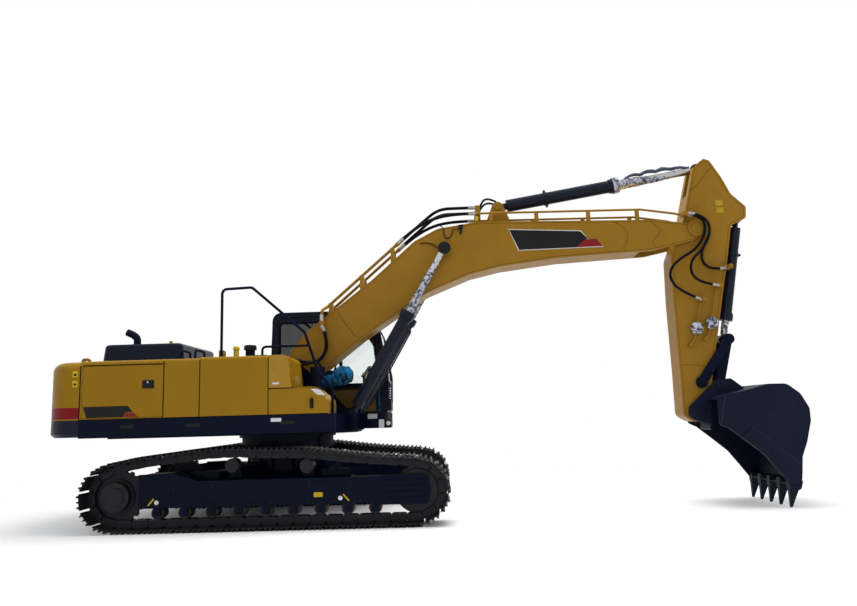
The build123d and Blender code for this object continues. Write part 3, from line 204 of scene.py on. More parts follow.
foot_route = ((0.587, 2.7889), (0.700, 2.500), (0.520, 2.200), (0.060, 2.315), (-0.198, 2.315))
outer_route = ((1.7454, 4.0573), (1.976, 4.2578), (2.300, 4.435), (2.6577, 4.4926), (2.9625, 4.490))
inner_route = ((1.7454, 4.0573), (2.1493, 4.4084), (2.390, 4.595), (2.700, 4.600), (2.9595, 4.600))
for side, y in (("right", -0.350), ("far_right", -0.400)):
    hose("foot_hose_" + side, "boom", "boom_hoses", 0.048, at_y(y, foot_route))
for side, hand in (("right", -1), ("left", 1)):
    hose("knee_hose_outer_" + side, "boom", "knee_hoses", 0.048, at_y(0.225 * hand, outer_route))
    hose("knee_hose_inner_" + side, "boom", "knee_hoses", 0.048, at_y(0.165 * hand, inner_route))
for name, length, y, route in (
        ("arm_hose_rear", 1.95, -0.310, ((6.195, 4.352), (6.420, 4.310), (6.463, 4.080), (6.300, 3.800), (5.960, 3.620),
                                         (5.830, 3.400), (5.980, 3.160), (6.2998, 3.023))),
        ("arm_hose_middle", 1.67, -0.358, ((6.195, 4.352), (6.440, 4.310), (6.520, 4.060), (6.370, 3.780),
                                           (6.190, 3.640), (6.150, 3.430), (6.290, 3.270), (6.5601, 3.221))),
        ("arm_hose_front", 1.40, -0.250, ((6.1912, 4.352), (6.470, 4.340), (6.570, 4.100), (6.380, 3.780),
                                          (6.380, 3.600), (6.520, 3.480), (6.733, 3.509)))):
    hose(name, "arm", "arm_hoses", 0.040, at_y(y, route))


# ---------------------------------------------------------------- tracks
# Forty-eight rolled shoes with three grousers each, bolted to two strands of forged links whose
# pins show at each joint. The chain follows the same pin line as its solid.
def skin(rings, closed=True, ends=True):
    """Faces over rings, an array of ring by point by xyz: quads between neighbouring rings, joined round each ring
    where closed, and an end face on the first and last ring."""
    rings = np.asarray(rings, float)
    count, size = rings.shape[:2]
    index = np.arange(count * size).reshape(count, size)
    after = np.roll(index, -1, axis=1) if closed else index[:, 1:]
    here = index if closed else index[:, :-1]
    faces = np.stack((here[:-1], after[:-1], after[1:], here[1:]), axis=-1).reshape(-1, 4).tolist()
    if ends:
        faces += [index[0][::-1].tolist(), index[-1].tolist()]
    return rings.reshape(-1, 3), faces


def across_machine(outline, lows, inset=0.0):
    """A flat outline of x and z carried across the machine over the y values lows; with inset, the first and last
    section are that much smaller about the outline's middle, which breaks the edge."""
    outline = np.array(outline, float)
    middle = outline.mean(axis=0)
    small = 1.0 - inset / np.abs(outline - middle).max()
    rings = []
    for place, y in enumerate(lows):
        flat = middle + (outline - middle) * (small if place in (0, len(lows) - 1) else 1.0)
        rings.append(np.column_stack((flat[:, 0], np.full(len(flat), y), flat[:, 1])))
    return skin(rings)


def turned(profile, centre, axis=(0, 1, 0), count=20, ring=False):
    """A surface of revolution: rows of distance along the axis and radius, turned about axis at centre; a ring's last
    row joins its first, so it is open in the middle."""
    axis = np.array(axis, float) / np.linalg.norm(axis)
    side = np.cross(axis, (0.0, 0.0, 1.0) if abs(axis[2]) < 0.9 else (1.0, 0.0, 0.0))
    side /= np.linalg.norm(side)
    angle = np.linspace(0, 2 * np.pi, count, endpoint=False)[:, None]
    around = np.cos(angle) * side + np.sin(angle) * np.cross(axis, side)
    rows = tuple(profile) + (tuple(profile)[0],) if ring else profile
    return skin([np.array(centre) + along * axis + radius * around for along, radius in rows], ends=not ring)


def joined(parts):
    """One mesh from several: their points one after the other, and their faces renumbered to match."""
    points, faces, first = [], [], 0
    for part_points, part_faces in parts:
        points.append(part_points)
        faces += [[corner + first for corner in face] for face in part_faces]
        first += len(part_points)
    return np.vstack(points), faces


def copies(part, places, turns=np.eye(3)):
    """The part repeated: each copy is turned by a 3 by 3 matrix and moved to its place, all as one array."""
    points, faces = part
    moved = np.einsum("...ij,nj->...ni", turns, points) + np.asarray(places)[:, None, :]
    repeated = [[corner + step * len(points) for corner in face] for step in range(len(places)) for face in faces]
    return moved.reshape(-1, 3), repeated


def build(name, body, material, parts, nodes=(), smooth=35.0, bevel=0.0):
    """A piece from its parts: one mesh with outward normals, smooth under an angle, riding on body and standing for
    nodes."""
    points, faces = joined(parts)
    mesh = bpy.data.meshes.new(name)
    mesh.from_pydata((points + slew_axis).tolist(), [], faces)
    work = bmesh.new()
    work.from_mesh(mesh)
    bmesh.ops.remove_doubles(work, verts=work.verts, dist=1e-6)
    bmesh.ops.recalc_face_normals(work, faces=work.faces)
    work.to_mesh(mesh)
    work.free()
    mesh.shade_smooth()
    mesh.set_sharp_from_angle(angle=math.radians(smooth))
    mesh.materials.append(material)
    piece = bpy.data.objects.new(name, mesh)
    scene.collection.objects.link(piece)
    if bevel:
        edge = piece.modifiers.new("edge", "BEVEL")
        edge.width = bevel
        edge.segments = 2
        edge.limit_method = "ANGLE"
        edge.angle_limit = math.radians(40)
    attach(piece, body)
    if nodes:
        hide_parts(*nodes)
    return piece


track_steel = finish("track steel", (0.0090, 0.0095, 0.0120), roughness=0.5, metallic=0.4, specular=0.3, dust=0.22,
                     patches=0.6, grain=70.0, bump=0.3, dust_and_sheen_colour=(0.030, 0.026, 0.022))
coat_nodes(track_steel, "track_right", "track_left", "sprockets", "idlers", "rollers")
track_centre, shoe_half, shoe_count, wrap_radius = 1.295, 0.300, 48, 0.360
tumbler_x, tumbler_z, pin_low = 2.000, 0.455, 0.095
slack_run = ((1.680, 0.832), (1.100, 0.882), (0.535, 0.956), (0.100, 0.964), (-0.463, 0.990), (-0.890, 0.974),
             (-1.150, 0.941), (-1.610, 0.893))
sweep = np.pi * np.arange(24) / 24
ahead = np.column_stack((tumbler_x + wrap_radius * np.sin(sweep), tumbler_z - wrap_radius * np.cos(sweep)))
behind = np.column_stack((-tumbler_x - wrap_radius * np.sin(sweep[2:]), tumbler_z + wrap_radius * np.cos(sweep[2:])))
pin_line = np.vstack(([(-tumbler_x, pin_low)], ahead, slack_run, behind, [(-tumbler_x, pin_low)]))
gone = np.concatenate(([0.0], np.cumsum(np.linalg.norm(np.diff(pin_line, axis=0), axis=1))))
stations = np.arange(shoe_count) * gone[-1] / shoe_count
pins = np.column_stack((np.interp(stations, gone, pin_line[:, 0]), np.interp(stations, gone, pin_line[:, 1])))
chords = np.roll(pins, -1, axis=0) - pins
along = chords / np.linalg.norm(chords, axis=1)[:, None]
# A shoe's own axes in the frame: x along the chain, y across, z outwards from the pin line.
shoe_turns = np.zeros((shoe_count, 3, 3))
shoe_turns[:, 0, 0], shoe_turns[:, 2, 0] = along[:, 0], along[:, 1]
shoe_turns[:, 1, 1] = 1.0
shoe_turns[:, 0, 2], shoe_turns[:, 2, 2] = along[:, 1], -along[:, 0]
shoe_outline = [(-0.104, 0.047), (-0.104, 0.056)]
for bar in (-0.072, 0.0, 0.072):
    shoe_outline += [(bar - 0.016, 0.060), (bar - 0.007, 0.093), (bar + 0.007, 0.093), (bar + 0.016, 0.060)]
shoe_outline += [(0.100, 0.060), (0.109, 0.052), (0.106, 0.045), (0.094, 0.047)]
link_outline = [(-0.108, -0.030), (-0.095, -0.052), (-0.060, -0.058), (0.060, -0.058), (0.095, -0.052),
                (0.108, -0.030), (0.110, 0.010), (0.090, 0.040), (0.050, 0.047), (-0.050, 0.047), (-0.090, 0.040),
                (-0.110, 0.010)]
shoe = across_machine(shoe_outline, (-shoe_half, -shoe_half + 0.012, shoe_half - 0.012, shoe_half), inset=0.008)
bolts = [turned(((0.044, 0.0), (0.044, 0.017), (0.072, 0.017), (0.072, 0.0)), (x, y, 0.0), (0, 0, 1), 6)
         for x in (-0.036, 0.036) for y in (-0.098, 0.098)]
links = [across_machine(link_outline, lows) for lows in ((-0.086, -0.048), (0.048, 0.086))]
pin = turned(((-0.090, 0.0), (-0.090, 0.019), (-0.050, 0.020), (-0.049, 0.033), (0.049, 0.033), (0.050, 0.020),
              (0.090, 0.019), (0.090, 0.0)), (0, 0, 0), (0, 1, 0), 12)
for side, hand in (("right", -1), ("left", 1)):
    middles, joints = (np.column_stack((line[:, 0], np.full(shoe_count, hand * track_centre), line[:, 1]))
                       for line in (pins + chords / 2, pins))
    for name, part, smooth in (("shoes_", copies(joined([shoe] + bolts), middles, shoe_turns), 25),
                               ("links_", copies(joined(links), middles, shoe_turns), 40),
                               ("pins_", copies(pin, joints), 40)):
        build(name + side, "undercarriage", track_steel, [part], ("track_" + side,), smooth=smooth)


# ---------------------------------------------------------------- track frames and drives
# Welded box frames: bolted guard plates along the side, ribs on the idler's yoke, lashing
# points with yellow clips, and a ring of bolts on each final drive's cover.
def bolt_heads(spots, height, axis, radius=0.016, sides=6):
    """Hexagon heads at spots, standing height proud along axis."""
    return copies(turned(((-0.004, 0.0), (-0.004, radius), (height * 0.8, radius), (height, radius * 0.8),
                          (height, 0.0)),
                         (0, 0, 0), axis, sides), spots)


def bar_plate(x, z, lows, corner=0.004, inset=0.0):
    """A flat plate with round corners over the ranges x and z, standing between the y values lows."""
    turn = np.linspace(0, np.pi / 2, 4)
    outline = []
    for quarter, (out_x, out_z) in enumerate(((1, 1), (-1, 1), (-1, -1), (1, -1))):
        angle = turn + quarter * np.pi / 2
        outline += np.column_stack((x[out_x > 0] - out_x * corner + corner * np.cos(angle),
                                    z[out_z > 0] - out_z * corner + corner * np.sin(angle))).tolist()
    return across_machine(outline, lows, inset)


dark_blue = (0.0036, 0.0060, 0.0165)
dark_enamel = finish("blue black enamel", dark_blue, roughness=0.42, coat=0.08, specular=0.0, dust=0.05, patches=0.4,
                     grain=80.0, bump=0.10, dust_and_sheen_colour=(0.03, 0.03, 0.035))
coat_nodes(dark_enamel, "track_frame_right", "track_frame_left", "car_body", "swing_ring")
marker_yellow = finish("marker yellow", (0.50, 0.36, 0.01), roughness=0.45, patches=0.3, grain=90.0)
bright_steel = finish("polished steel", (0.48, 0.48, 0.47), roughness=0.22, metallic=0.95, specular=0.5, dust=0.1,
                      patches=0.3, grain=200.0, bump=0.05)
ribs = [((1.52, 2.10), (height - 0.007, height + 0.007), 0.006, 0.004, 0.010) for height in (0.365, 0.44, 0.515, 0.59)]
ribs += [((0.62, 0.78), (0.56, 0.60), 0.012, 0.003, 0.012), ((-1.55, 1.50), (0.325, 0.352), 0.01, 0.003, 0.007)]
cover_radius = 0.205
for side, hand in (("right", -1), ("left", 1)):
    face = hand * 1.4205
    out = (0, hand, 0)
    build("frame_ribs_" + side, "undercarriage", dark_enamel,
          [bar_plate(x, z, (face - sunk * hand, face + proud * hand), corner) for x, z, corner, sunk, proud in ribs],
          bevel=0.002)
    heads = [(x, face, z) for x in (-1.22, -0.72, 0.58, 1.12) for z in (0.585, 0.555, 0.525)]
    heads += [(x, face, 0.339) for x in np.linspace(-1.45, 1.42, 18)]
    cover = [(-tumbler_x + cover_radius * math.cos(turn), hand * 1.3548, tumbler_z + cover_radius * math.sin(turn))
             for turn in np.linspace(0, 2 * np.pi, 20, endpoint=False)]
    build("frame_bolts_" + side, "undercarriage", track_steel,
          [bolt_heads(heads, 0.008, out, 0.010), bolt_heads(cover, 0.012, out, 0.013)])
    clips = [across_machine([(x - 0.045 * lean, 0.345), (x - 0.03 * lean, 0.335), (x + 0.045 * lean, 0.42),
                             (x + 0.03 * lean, 0.43)], (face - 0.002 * hand, face + 0.010 * hand))
             for x, lean in ((-1.518, 1), (1.060, -1))]
    clips.append(bar_plate((0.635, 0.755), (0.395, 0.455), (face - 0.002 * hand, face + 0.004 * hand), 0.012))
    build("frame_marks_" + side, "undercarriage", marker_yellow, clips)
    build("frame_pads_" + side, "undercarriage", bright_steel,
          [turned(((0, 0), (0, 0.030), (0.010, 0.030), (0.014, 0.02), (0.014, 0)), (x, face - 0.002 * hand, 0.375),
                  out, 16) for x in (-1.445, 0.985)])

# ---------------------------------------------------------------- revolving frame's skirts
# Folded skirt plates with drain slots, whose openings are black plates of painted shade, a row of bolts, a lip along
# the foot and a small blank plate, in dark enamel like the frame, handrail and hoops that are bolted to them.
coat_nodes(dark_enamel, "main_frame", "side_decks", "control_valve", "handrail", "grab_hoops")
black_trim = finish("black trim", (0.003, 0.003, 0.004), roughness=0.45, dust=0.1, patches=0.3, grain=90.0)
for side, hand, drains, pair, front in (("right", -1, (-1.838, -0.955, 0.30), (0.42, 0.50), 0.90),
                                        ("left", 1, (-1.838, -0.955), (), -0.42)):
    face = hand * 1.4955
    # Painted shade: black plates stand for the dark openings of the drain slots.
    build("skirt_slot_shade_" + side, "upper", black_trim,
          [bar_plate((x - 0.10, x + 0.10), (1.352, 1.396), (face - 0.002 * hand, face + 0.0015 * hand), 0.018)
           for x in drains])
    spots = [(x, face, 1.43) for x in (-2.36, -2.28, -1.60, -1.52, -0.62, -0.54, -0.42, -0.34) + pair]
    build("skirt_bolts_" + side, "upper", dark_enamel, [bolt_heads(spots, 0.007, (0, hand, 0), 0.009)])
    build("skirt_lip_" + side, "upper", dark_enamel,
          [across_machine([(-2.488, 1.236), (front, 1.236), (front, 1.256), (-2.488, 1.256)],
                          (face - 0.004 * hand, face + 0.007 * hand))], bevel=0.003)
# This pale colour also paints a highlight on the toolbox's shoulder.
pale_plate_and_highlight = finish("blank pale plate and painted highlight", (0.55, 0.56, 0.58), patches=0.2, grain=90.0, dust_and_sheen_colour=(0.3, 0.28, 0.25))
build("skirt_plate", "upper", pale_plate_and_highlight, [bar_plate((0.08, 0.22), (1.387, 1.435), (-1.4945, -1.4975), 0.006)])

# ---------------------------------------------------------------- counterweight
# One casting round the slew axis: ochre above, a red band, and a dark foot in line with the
# skirts. Blank plates on the corners, and lamps and a grille behind.
tail_radius = 3.240
ochre, red = (0.252, 0.131, 0.003), (0.17, 0.003, 0.007)


def banded(material, rows, base):
    """Gives the material's weathering group a colour that steps with height: base, then each row's colour over its
    range of heights in metres."""
    tree = material.node_tree
    place, split = add_nodes(tree, "TexCoord", "SeparateXYZ")
    wire(tree, split, {0: place.outputs["Object"]})
    height, below = split.outputs["Z"], (*base, 1)
    for low, high, colour in rows:
        inside = calc(tree, "MULTIPLY", calc(tree, "GREATER_THAN", height, low), calc(tree, "LESS_THAN", height, high))
        below = mixed(tree, inside, below, (*colour, 1))
    worn = [node for node in tree.nodes if node.type == "GROUP"][0]
    wire(tree, worn, {"Colour": below})


def tail_patch(low_y, high_y, low_z, high_z, proud):
    """A patch of the rear face, a cylinder about the slew axis, standing proud of it: a grid over y and z, and its rim
    turned in."""
    y, z = np.meshgrid(np.linspace(low_y, high_y, 9), np.linspace(low_z, high_z, 3), indexing="ij")
    front, back = (np.stack((-np.sqrt((tail_radius + out) ** 2 - y ** 2), y, z), axis=-1) for out in (proud, -0.01))
    edge = [(i, 0) for i in range(9)] + [(8, 1), (8, 2)] + [(i, 2) for i in range(7, -1, -1)] + [(0, 1)]
    rim = [[grid[spot] for spot in edge] for grid in (back, front)]
    return joined([skin(rim, ends=False)] + [skin(grid.transpose(1, 0, 2), closed=False, ends=False)
                                             for grid in (front, back)])


tail_enamel = finish("tail enamel", ochre, roughness=0.34, coat=0.05, specular=0.12, dust=0.08, patches=0.22,
                     grain=40.0, bump=0.18)
banded(tail_enamel, ((1.0, 1.478, dark_blue), (1.495, 1.645, red)), ochre)
coat_nodes(tail_enamel, "counterweight")
spots = [(low, hand) for low in (2.05, 1.92) for hand in (-1, 1)]
build("tail_plates", "upper", marker_yellow,
      [bar_plate((-2.60, -2.53), (low, low + 0.085), (hand * 1.4940, hand * 1.4965), 0.006) for low, hand in spots])
build("tail_plate_inks", "upper", black_trim,
      [bar_plate((-2.585, -2.545), (low + 0.02, low + 0.05), (hand * 1.4950, hand * 1.4972)) for low, hand in spots])
lamp_red = finish("red lamp lens", (0.28, 0.004, 0.004), roughness=0.12, coat=0.6, specular=0.5, dust=0.1,
                  patches=0.1, grain=200.0, bump=0.05)
build("tail_lamps", "upper", lamp_red,
      [tail_patch(hand * 1.02 - 0.11, hand * 1.02 + 0.11, 1.80, 1.88, 0.012) for hand in (-1, 1)], smooth=60)
build("tail_grille", "upper", black_trim,
      [tail_patch(-0.30, 0.30, low, low + 0.012, 0.0012) for low in np.arange(1.95, 2.10, 0.03)], smooth=60)

# ---------------------------------------------------------------- side doors and panels
# Folded steel panels and doors in ochre enamel, with a black recessed paddle latch and its lock,
# a blank badge on each side, and louvres on the left, with black strips of painted shade in their openings.
yellow_enamel = finish("ochre enamel", ochre, roughness=0.32, coat=0.05, specular=0.12, dust=0.08, patches=0.18,
                       grain=90.0, bump=0.05, depth=0.001)
coat_nodes(yellow_enamel, "housing", "hydraulic_tank", "toolbox", "toolbox_lid", "pump_door", "radiator_door",
           "battery_door")
coat_nodes(finish("engine paint", (0.05, 0.055, 0.06), roughness=0.5, dust=0.4, patches=0.3, grain=60.0, bump=0.3),
           "engine_block")
band_red = finish("red enamel", red, roughness=0.35, coat=0.1, dust=0.1, patches=0.2, grain=90.0, bump=0.05)


def badge(name, body, near, far, dark, wedge, hand):
    """A blank badge on the flank from the y value near to far: a dark slanted field with a red wedge at its end."""
    build(name + "_field", body, black_trim, [across_machine(dark, (hand * near, hand * far))])
    build(name + "_wedge", body, band_red, [across_machine(wedge, (hand * near, hand * (far + 0.0006)))])


def along_machine(outline, reach):
    """A flat outline of y and z carried along the machine over the x values reach."""
    return skin([[(x, y, z) for y, z in outline] for x in reach])


for side, hand, body in (("right", -1, "pump_door"), ("left", 1, "radiator_door")):
    badge("door_badge_" + side, body, 1.494, 1.4965,
          ((-2.44, 1.652), (-1.840, 1.652), (-1.770, 1.572), (-1.862, 1.566), (-1.905, 1.504), (-2.395, 1.504)),
          ((-1.858, 1.560), (-1.752, 1.560), (-1.700, 1.504), (-1.897, 1.504)), hand)
for name, hand, x in (("pump", -1, -1.570), ("radiator", 1, -1.600), ("battery", 1, -1.180)):
    build(name + "_latch", name + "_door", black_trim,
          [bar_plate((x - 0.080, x + 0.080), (1.875, 1.985), (hand * 1.4998, hand * 1.5030), 0.012),
           bar_plate((x - 0.062, x + 0.062), (1.893, 1.935), (hand * 1.5020, hand * 1.5075), 0.010, 0.006)],
          bevel=0.001)
    build(name + "_lock", name + "_door", bright_steel,
          [turned(((0, 0), (0, 0.012), (0.005, 0.012), (0.006, 0.008), (0.006, 0)), (x - 0.005, hand * 1.5028, 1.958),
                  (0, hand, 0), 14)])
slat_heights = np.arange(1.74, 2.10, 0.055)
for body, low_x, high_x in (("radiator_door", -2.30, -1.72), ("battery_door", -1.02, -0.58)):
    build(body + "_louvres", body, yellow_enamel,
          [along_machine(((1.4942, low), (1.4942, low + 0.040), (1.5025, low + 0.006), (1.5025, low)), (low_x, high_x))
           for low in slat_heights])
    # Painted shade: a black strip under each slat stands for the dark opening.
    build(body + "_louvre_shade", body, black_trim,
          [along_machine(((1.4945, low - 0.012), (1.4958, low - 0.012), (1.4958, low - 0.001), (1.4945, low - 0.001)),
                         (low_x + 0.01, high_x - 0.01)) for low in slat_heights])

# ---------------------------------------------------------------- shut lines
# Black strips over the joints between the doors, the fixed panels and the tanks: painted shade of the gaps, wider than
# the gaps, in the black rubber material. They ride on the fixed side, so that a door opens away from it.
# The same black rubber also paints the shade in the shut lines below.
rubber = finish("black rubber and painted shade", (0.0015, 0.0015, 0.002), roughness=0.8, specular=0.05, dust=0.05, patches=0.2,
                grain=300.0)
behind_doors = ((-2.500, -2.486), (1.478, 2.20))
for side, hand, joints in (
        ("right", -1, (behind_doors, ((-2.49, 0.84), (1.474, 1.484)), ((-1.369, -1.357), (1.484, 2.24)),
                       ((-0.885, -0.873), (1.484, 2.235)), ((0.037, 0.049), (1.484, 2.235)),
                       ((0.049, 0.34), (1.820, 1.830)), ((-2.46, -1.369), (2.197, 2.207)))),
        ("left", 1, (behind_doors, ((-2.49, -0.40), (1.474, 1.484)), ((-1.369, -1.357), (1.484, 2.20)),
                     ((-2.46, -0.50), (2.197, 2.207))))):
    # Painted shade: black strips stand for the shade in the joints.
    build("shut_line_shade_" + side, "upper", rubber,
          [bar_plate(x, z, (hand * 1.488, hand * 1.4958)) for x, z in joints])

# ---------------------------------------------------------------- engine hood and exhaust
# The hood is a pressed lid in dark enamel with a yellow lifting knob and two overcentre
# latches behind; the exhaust is a bent steel pipe on a bolted flange.
coat_nodes(finish("hood enamel", (0.0042, 0.0080, 0.0205), roughness=0.28, coat=0.12, specular=0.04, dust=0.05,
                  patches=0.3, grain=80.0, bump=0.06, dust_and_sheen_colour=(0.05, 0.05, 0.055)), "engine_hood")
coat_nodes(dark_enamel, "exhaust")


def eased(points, rounds=3):
    """A smooth path: in each round every corner gives way to two points a quarter of the way along its runs, and the
    ends stay."""
    path = np.array(points, float)
    for _ in range(rounds):
        near, far = path[:-1], path[1:]
        cut = np.stack((0.75 * near + 0.25 * far, 0.25 * near + 0.75 * far), axis=1).reshape(-1, path.shape[1])
        path = np.vstack((path[:1], cut, path[-1:]))
    return path


def rings_along(path, radius, sides=12):
    """Circles square to a path: radius, one value or one a point or a grid of points by sides, about each point."""
    path = np.array(path, float)
    tangent = np.gradient(path, axis=0)
    tangent /= np.linalg.norm(tangent, axis=1)[:, None]
    guide = np.array((0.0, 1.0, 0.0)) if np.abs(tangent[:, 1]).max() < 0.95 else np.array((0.48, 0.1, 0.87))
    side = np.cross(tangent, guide)
    side /= np.linalg.norm(side, axis=1)[:, None]
    other = np.cross(tangent, side)
    turn = np.linspace(0, 2 * np.pi, sides, endpoint=False)[None, :, None]
    radius = np.asarray(radius, float)
    size = radius[..., None] if radius.ndim == 2 else np.broadcast_to(radius, len(path))[:, None, None]
    return path[:, None] + size * (np.cos(turn) * side[:, None] + np.sin(turn) * other[:, None])


def tube(points, radius, sides=12, rounds=3):
    """A bar or pipe along a smooth path through points."""
    return skin(rings_along(eased(points, rounds), radius, sides))


pipe_x, pipe_y = -2.110, -0.6
pipe_path = eased(((pipe_x, pipe_y, 2.552), (pipe_x, pipe_y, 2.655), (-2.165, pipe_y, 2.705), (-2.262, pipe_y, 2.748)))
build("tail_pipe", "engine_hood", dark_enamel,
      [skin(np.concatenate((rings_along(pipe_path, 0.052, 24), rings_along(pipe_path, 0.046, 24)[::-1]))),
       turned(((0.0, 0.0), (0.0, 0.078), (0.012, 0.078), (0.014, 0.052), (0.014, 0.0)), (pipe_x, pipe_y, 2.548),
              (0, 0, 1), 24),
       bolt_heads([(pipe_x + 0.066 * math.cos(turn), pipe_y + 0.066 * math.sin(turn), 2.560)
                   for turn in (0.8, 2.4, 3.9, 5.5)], 0.008, (0, 0, 1), 0.008)], ("exhaust",))
build("hood_knob", "engine_hood", marker_yellow,
      [turned(((-0.004, 0.0), (-0.004, 0.030), (0.010, 0.030), (0.016, 0.014), (0.030, 0.014), (0.040, 0.028),
               (0.056, 0.028), (0.062, 0.018), (0.062, 0.0)), (-1.64, -0.52, 2.549), (0, 0, 1), 18)])
build("hood_latches", "engine_hood", black_trim,
      [across_machine(((-2.528, 2.33), (-2.536, 2.335), (-2.536, 2.42), (-2.522, 2.425)), (near, near + 0.05))
       for near in (-0.62, 0.47)], bevel=0.002)

# ---------------------------------------------------------------- tank fittings
# A black filler cap with a gripped rim on its neck, a yellow breather, and a yellow strainer
# bracket, all on the hydraulic tank's top; the fuel tank ahead of it is glossier, and its ochre is lighter, with broad
# light patches, as a painted highlight.
# Painted highlight: a lighter copy of the ochre, with broad patches, on the fuel tank.
coat_nodes(finish("glossy ochre, painted highlight", (0.300, 0.160, 0.004), roughness=0.20, coat=0.30, dust=0.05, patches=0.4, grain=20.0,
                  bump=0.12, depth=0.003), "fuel_tank")
coat_nodes(dark_enamel, "top_fittings")
turn = np.arange(48) * np.pi / 24
grip = 0.084 + 0.003 * np.cos(24 * turn)
build("filler_cap", "upper", black_trim,
      [skin([np.column_stack((-0.33 + radius * np.cos(turn), -1.0 + radius * np.sin(turn), np.full(48, z)))
             for radius, z in ((0.07, 2.392), (grip, 2.396), (grip, 2.448), (0.074, 2.462), (0.03, 2.468))])],
      ("top_fittings",), smooth=50)
build("filler_neck", "upper", dark_enamel,
      [turned(((0, 0), (0, 0.088), (0.012, 0.088), (0.014, 0.066), (0.120, 0.066), (0.122, 0)), (-0.33, -1.0, 2.272),
              (0, 0, 1), 28)], ("top_fittings",))
build("breather", "upper", marker_yellow,
      [turned(((0, 0), (0, 0.050), (0.008, 0.050), (0.012, 0.038), (0.120, 0.038), (0.124, 0.046), (0.150, 0.046),
               (0.168, 0.034), (0.174, 0)), (-0.50, -1.10, 2.272), (0, 0, 1), 24)],
      ("top_fittings",))
build("strainer", "upper", yellow_enamel,
      [across_machine(((-0.745, 2.273), (-0.745, 2.385), (-0.735, 2.395), (-0.690, 2.395), (-0.680, 2.385),
                       (-0.680, 2.273)), (-1.11, -0.98)),
       bolt_heads([(-0.712, y, 2.394) for y in (-1.085, -1.005)], 0.010, (0, 0, 1), 0.012)],
      ("top_fittings",), bevel=0.004)


# ---------------------------------------------------------------- swing motor
# A cast hydraulic motor on its gear case, bolted to the revolving frame and wrapped for
# shipping in crumpled teal film, with two rubber hoses that run back along the frame. The film's strong light and dark
# patches, its lighter teal on faces turned upwards and its dark flecks are painted highlights and shade of the
# crumples.
def crumple(along, around, folds, depth, seed):
    """A share of the radius, 1 less sharp creases: the sum of a few triangle waves of random slope over the surface."""
    rand = np.random.RandomState(seed)
    swing = np.zeros(np.broadcast(along, around).shape)
    for _ in range(folds):
        pitch_along, turns, start = rand.uniform(20, 95), rand.randint(-5, 6), rand.uniform(0, 6.28)
        swing += np.abs(np.mod((along * pitch_along + around * turns + start) / np.pi, 2.0) - 1.0)
    return 1.0 - depth * (swing / folds)


def wrap(path, radius, depth, seed, sides=40, folds=7):
    """Film or foil wound round a bar: a tube whose radius follows the bar and is creased all over."""
    gone = np.concatenate(([0.0], np.cumsum(np.linalg.norm(np.diff(path, axis=0), axis=1))))[:, None]
    turn = np.linspace(0, 2 * np.pi, sides, endpoint=False)[None, :]
    size = np.broadcast_to(np.asarray(radius, float), len(path))[:, None] * crumple(gone, turn, folds, depth, seed)
    return skin(rings_along(path, size, sides))


def between(start, end, share):
    """The points at these shares of the way from start to end."""
    return np.array(start) + np.asarray(share)[:, None] * (np.array(end) - np.array(start))


def crease_shaded(material, scale, dark, low=0.42, high=0.56):
    """Breaks a material's colour with patches of a darker one, where a fine noise falls between low and high; on the
    wrapping films and foils these dark flecks are painted shade and reflections of the crumples.
    """
    tree = material.node_tree
    worn = [node for node in tree.nodes if node.type == "GROUP"][0]
    place, fleck, step = add_nodes(tree, "TexCoord", "TexNoise", "MapRange")
    wire(tree, fleck, {"Scale": scale, "Detail": 4.0, "Vector": place.outputs["Object"]})
    wire(tree, step, {"From Min": low, "From Max": high, "Value": fleck.outputs["Fac"]})
    wire(tree, tree.nodes["Principled BSDF"],
         {"Base Color": mixed(tree, step.outputs[0], (*dark, 1), worn.outputs["Colour"])})
    return material


coat_nodes(dark_enamel, "swing_motor")
# Painted highlights and shade: strong light and dark patches, a lighter teal in place of dust, and dark flecks.
teal_film_and_sheen = crease_shaded(finish("teal film", (0.0015, 0.075, 0.190), roughness=0.22, coat=0.03, specular=0.10, dust=0.10,
                           patches=1.8, grain=26.0, bump=0.7, depth=0.010, dust_and_sheen_colour=(0.03, 0.28, 0.42)),
                    11.0, (0.0008, 0.010, 0.022), 0.38, 0.55)
stretch = np.linspace(0.0, 1.0, 60)
bulge = np.abs(2 * stretch - 1)
build("motor_wrap", "upper", teal_film_and_sheen,
      [wrap(between((0.600, -0.655, 1.945), (0.980, -0.655, 1.975), stretch), 0.088 * (1 - bulge ** 4) ** 0.5 + 0.030,
            0.34, 52, 48, 8),
       wrap(between((0.800, -0.655, 2.020), (1.085, -0.655, 2.020), stretch), 0.148 * (1 - bulge ** 2.6) ** 0.5 + 0.012,
            0.32, 54, 48, 8)], smooth=16)
for name, path in (("motor_hose_high", ((0.62, -0.60, 2.12), (0.56, -0.55, 2.24), (0.30, -0.50, 2.20),
                                        (-0.05, -0.48, 2.10), (-0.22, -0.48, 2.05))),
                   ("motor_hose_low", ((0.64, -0.70, 1.90), (0.52, -0.56, 1.80), (0.30, -0.48, 1.78),
                                       (0.00, -0.46, 1.90), (-0.22, -0.46, 1.92)))):
    build(name, "upper", hose_rubber, [tube(path, 0.019)], smooth=60)

# ---------------------------------------------------------------- toolbox
# A folded steel box in ochre enamel, fixed ahead of the tanks, with a black grab handle on its
# pad, a pale patch on its shoulder that is a painted highlight, a small blank plate on its side, and studs for grip on
# its lid.
build("toolbox_handle", "upper", black_trim,
      [tube(((0.625, -1.505, 1.56), (0.625, -1.532, 1.565), (0.625, -1.538, 1.62), (0.625, -1.532, 1.675),
             (0.625, -1.505, 1.68)), 0.011, 10)], smooth=50)
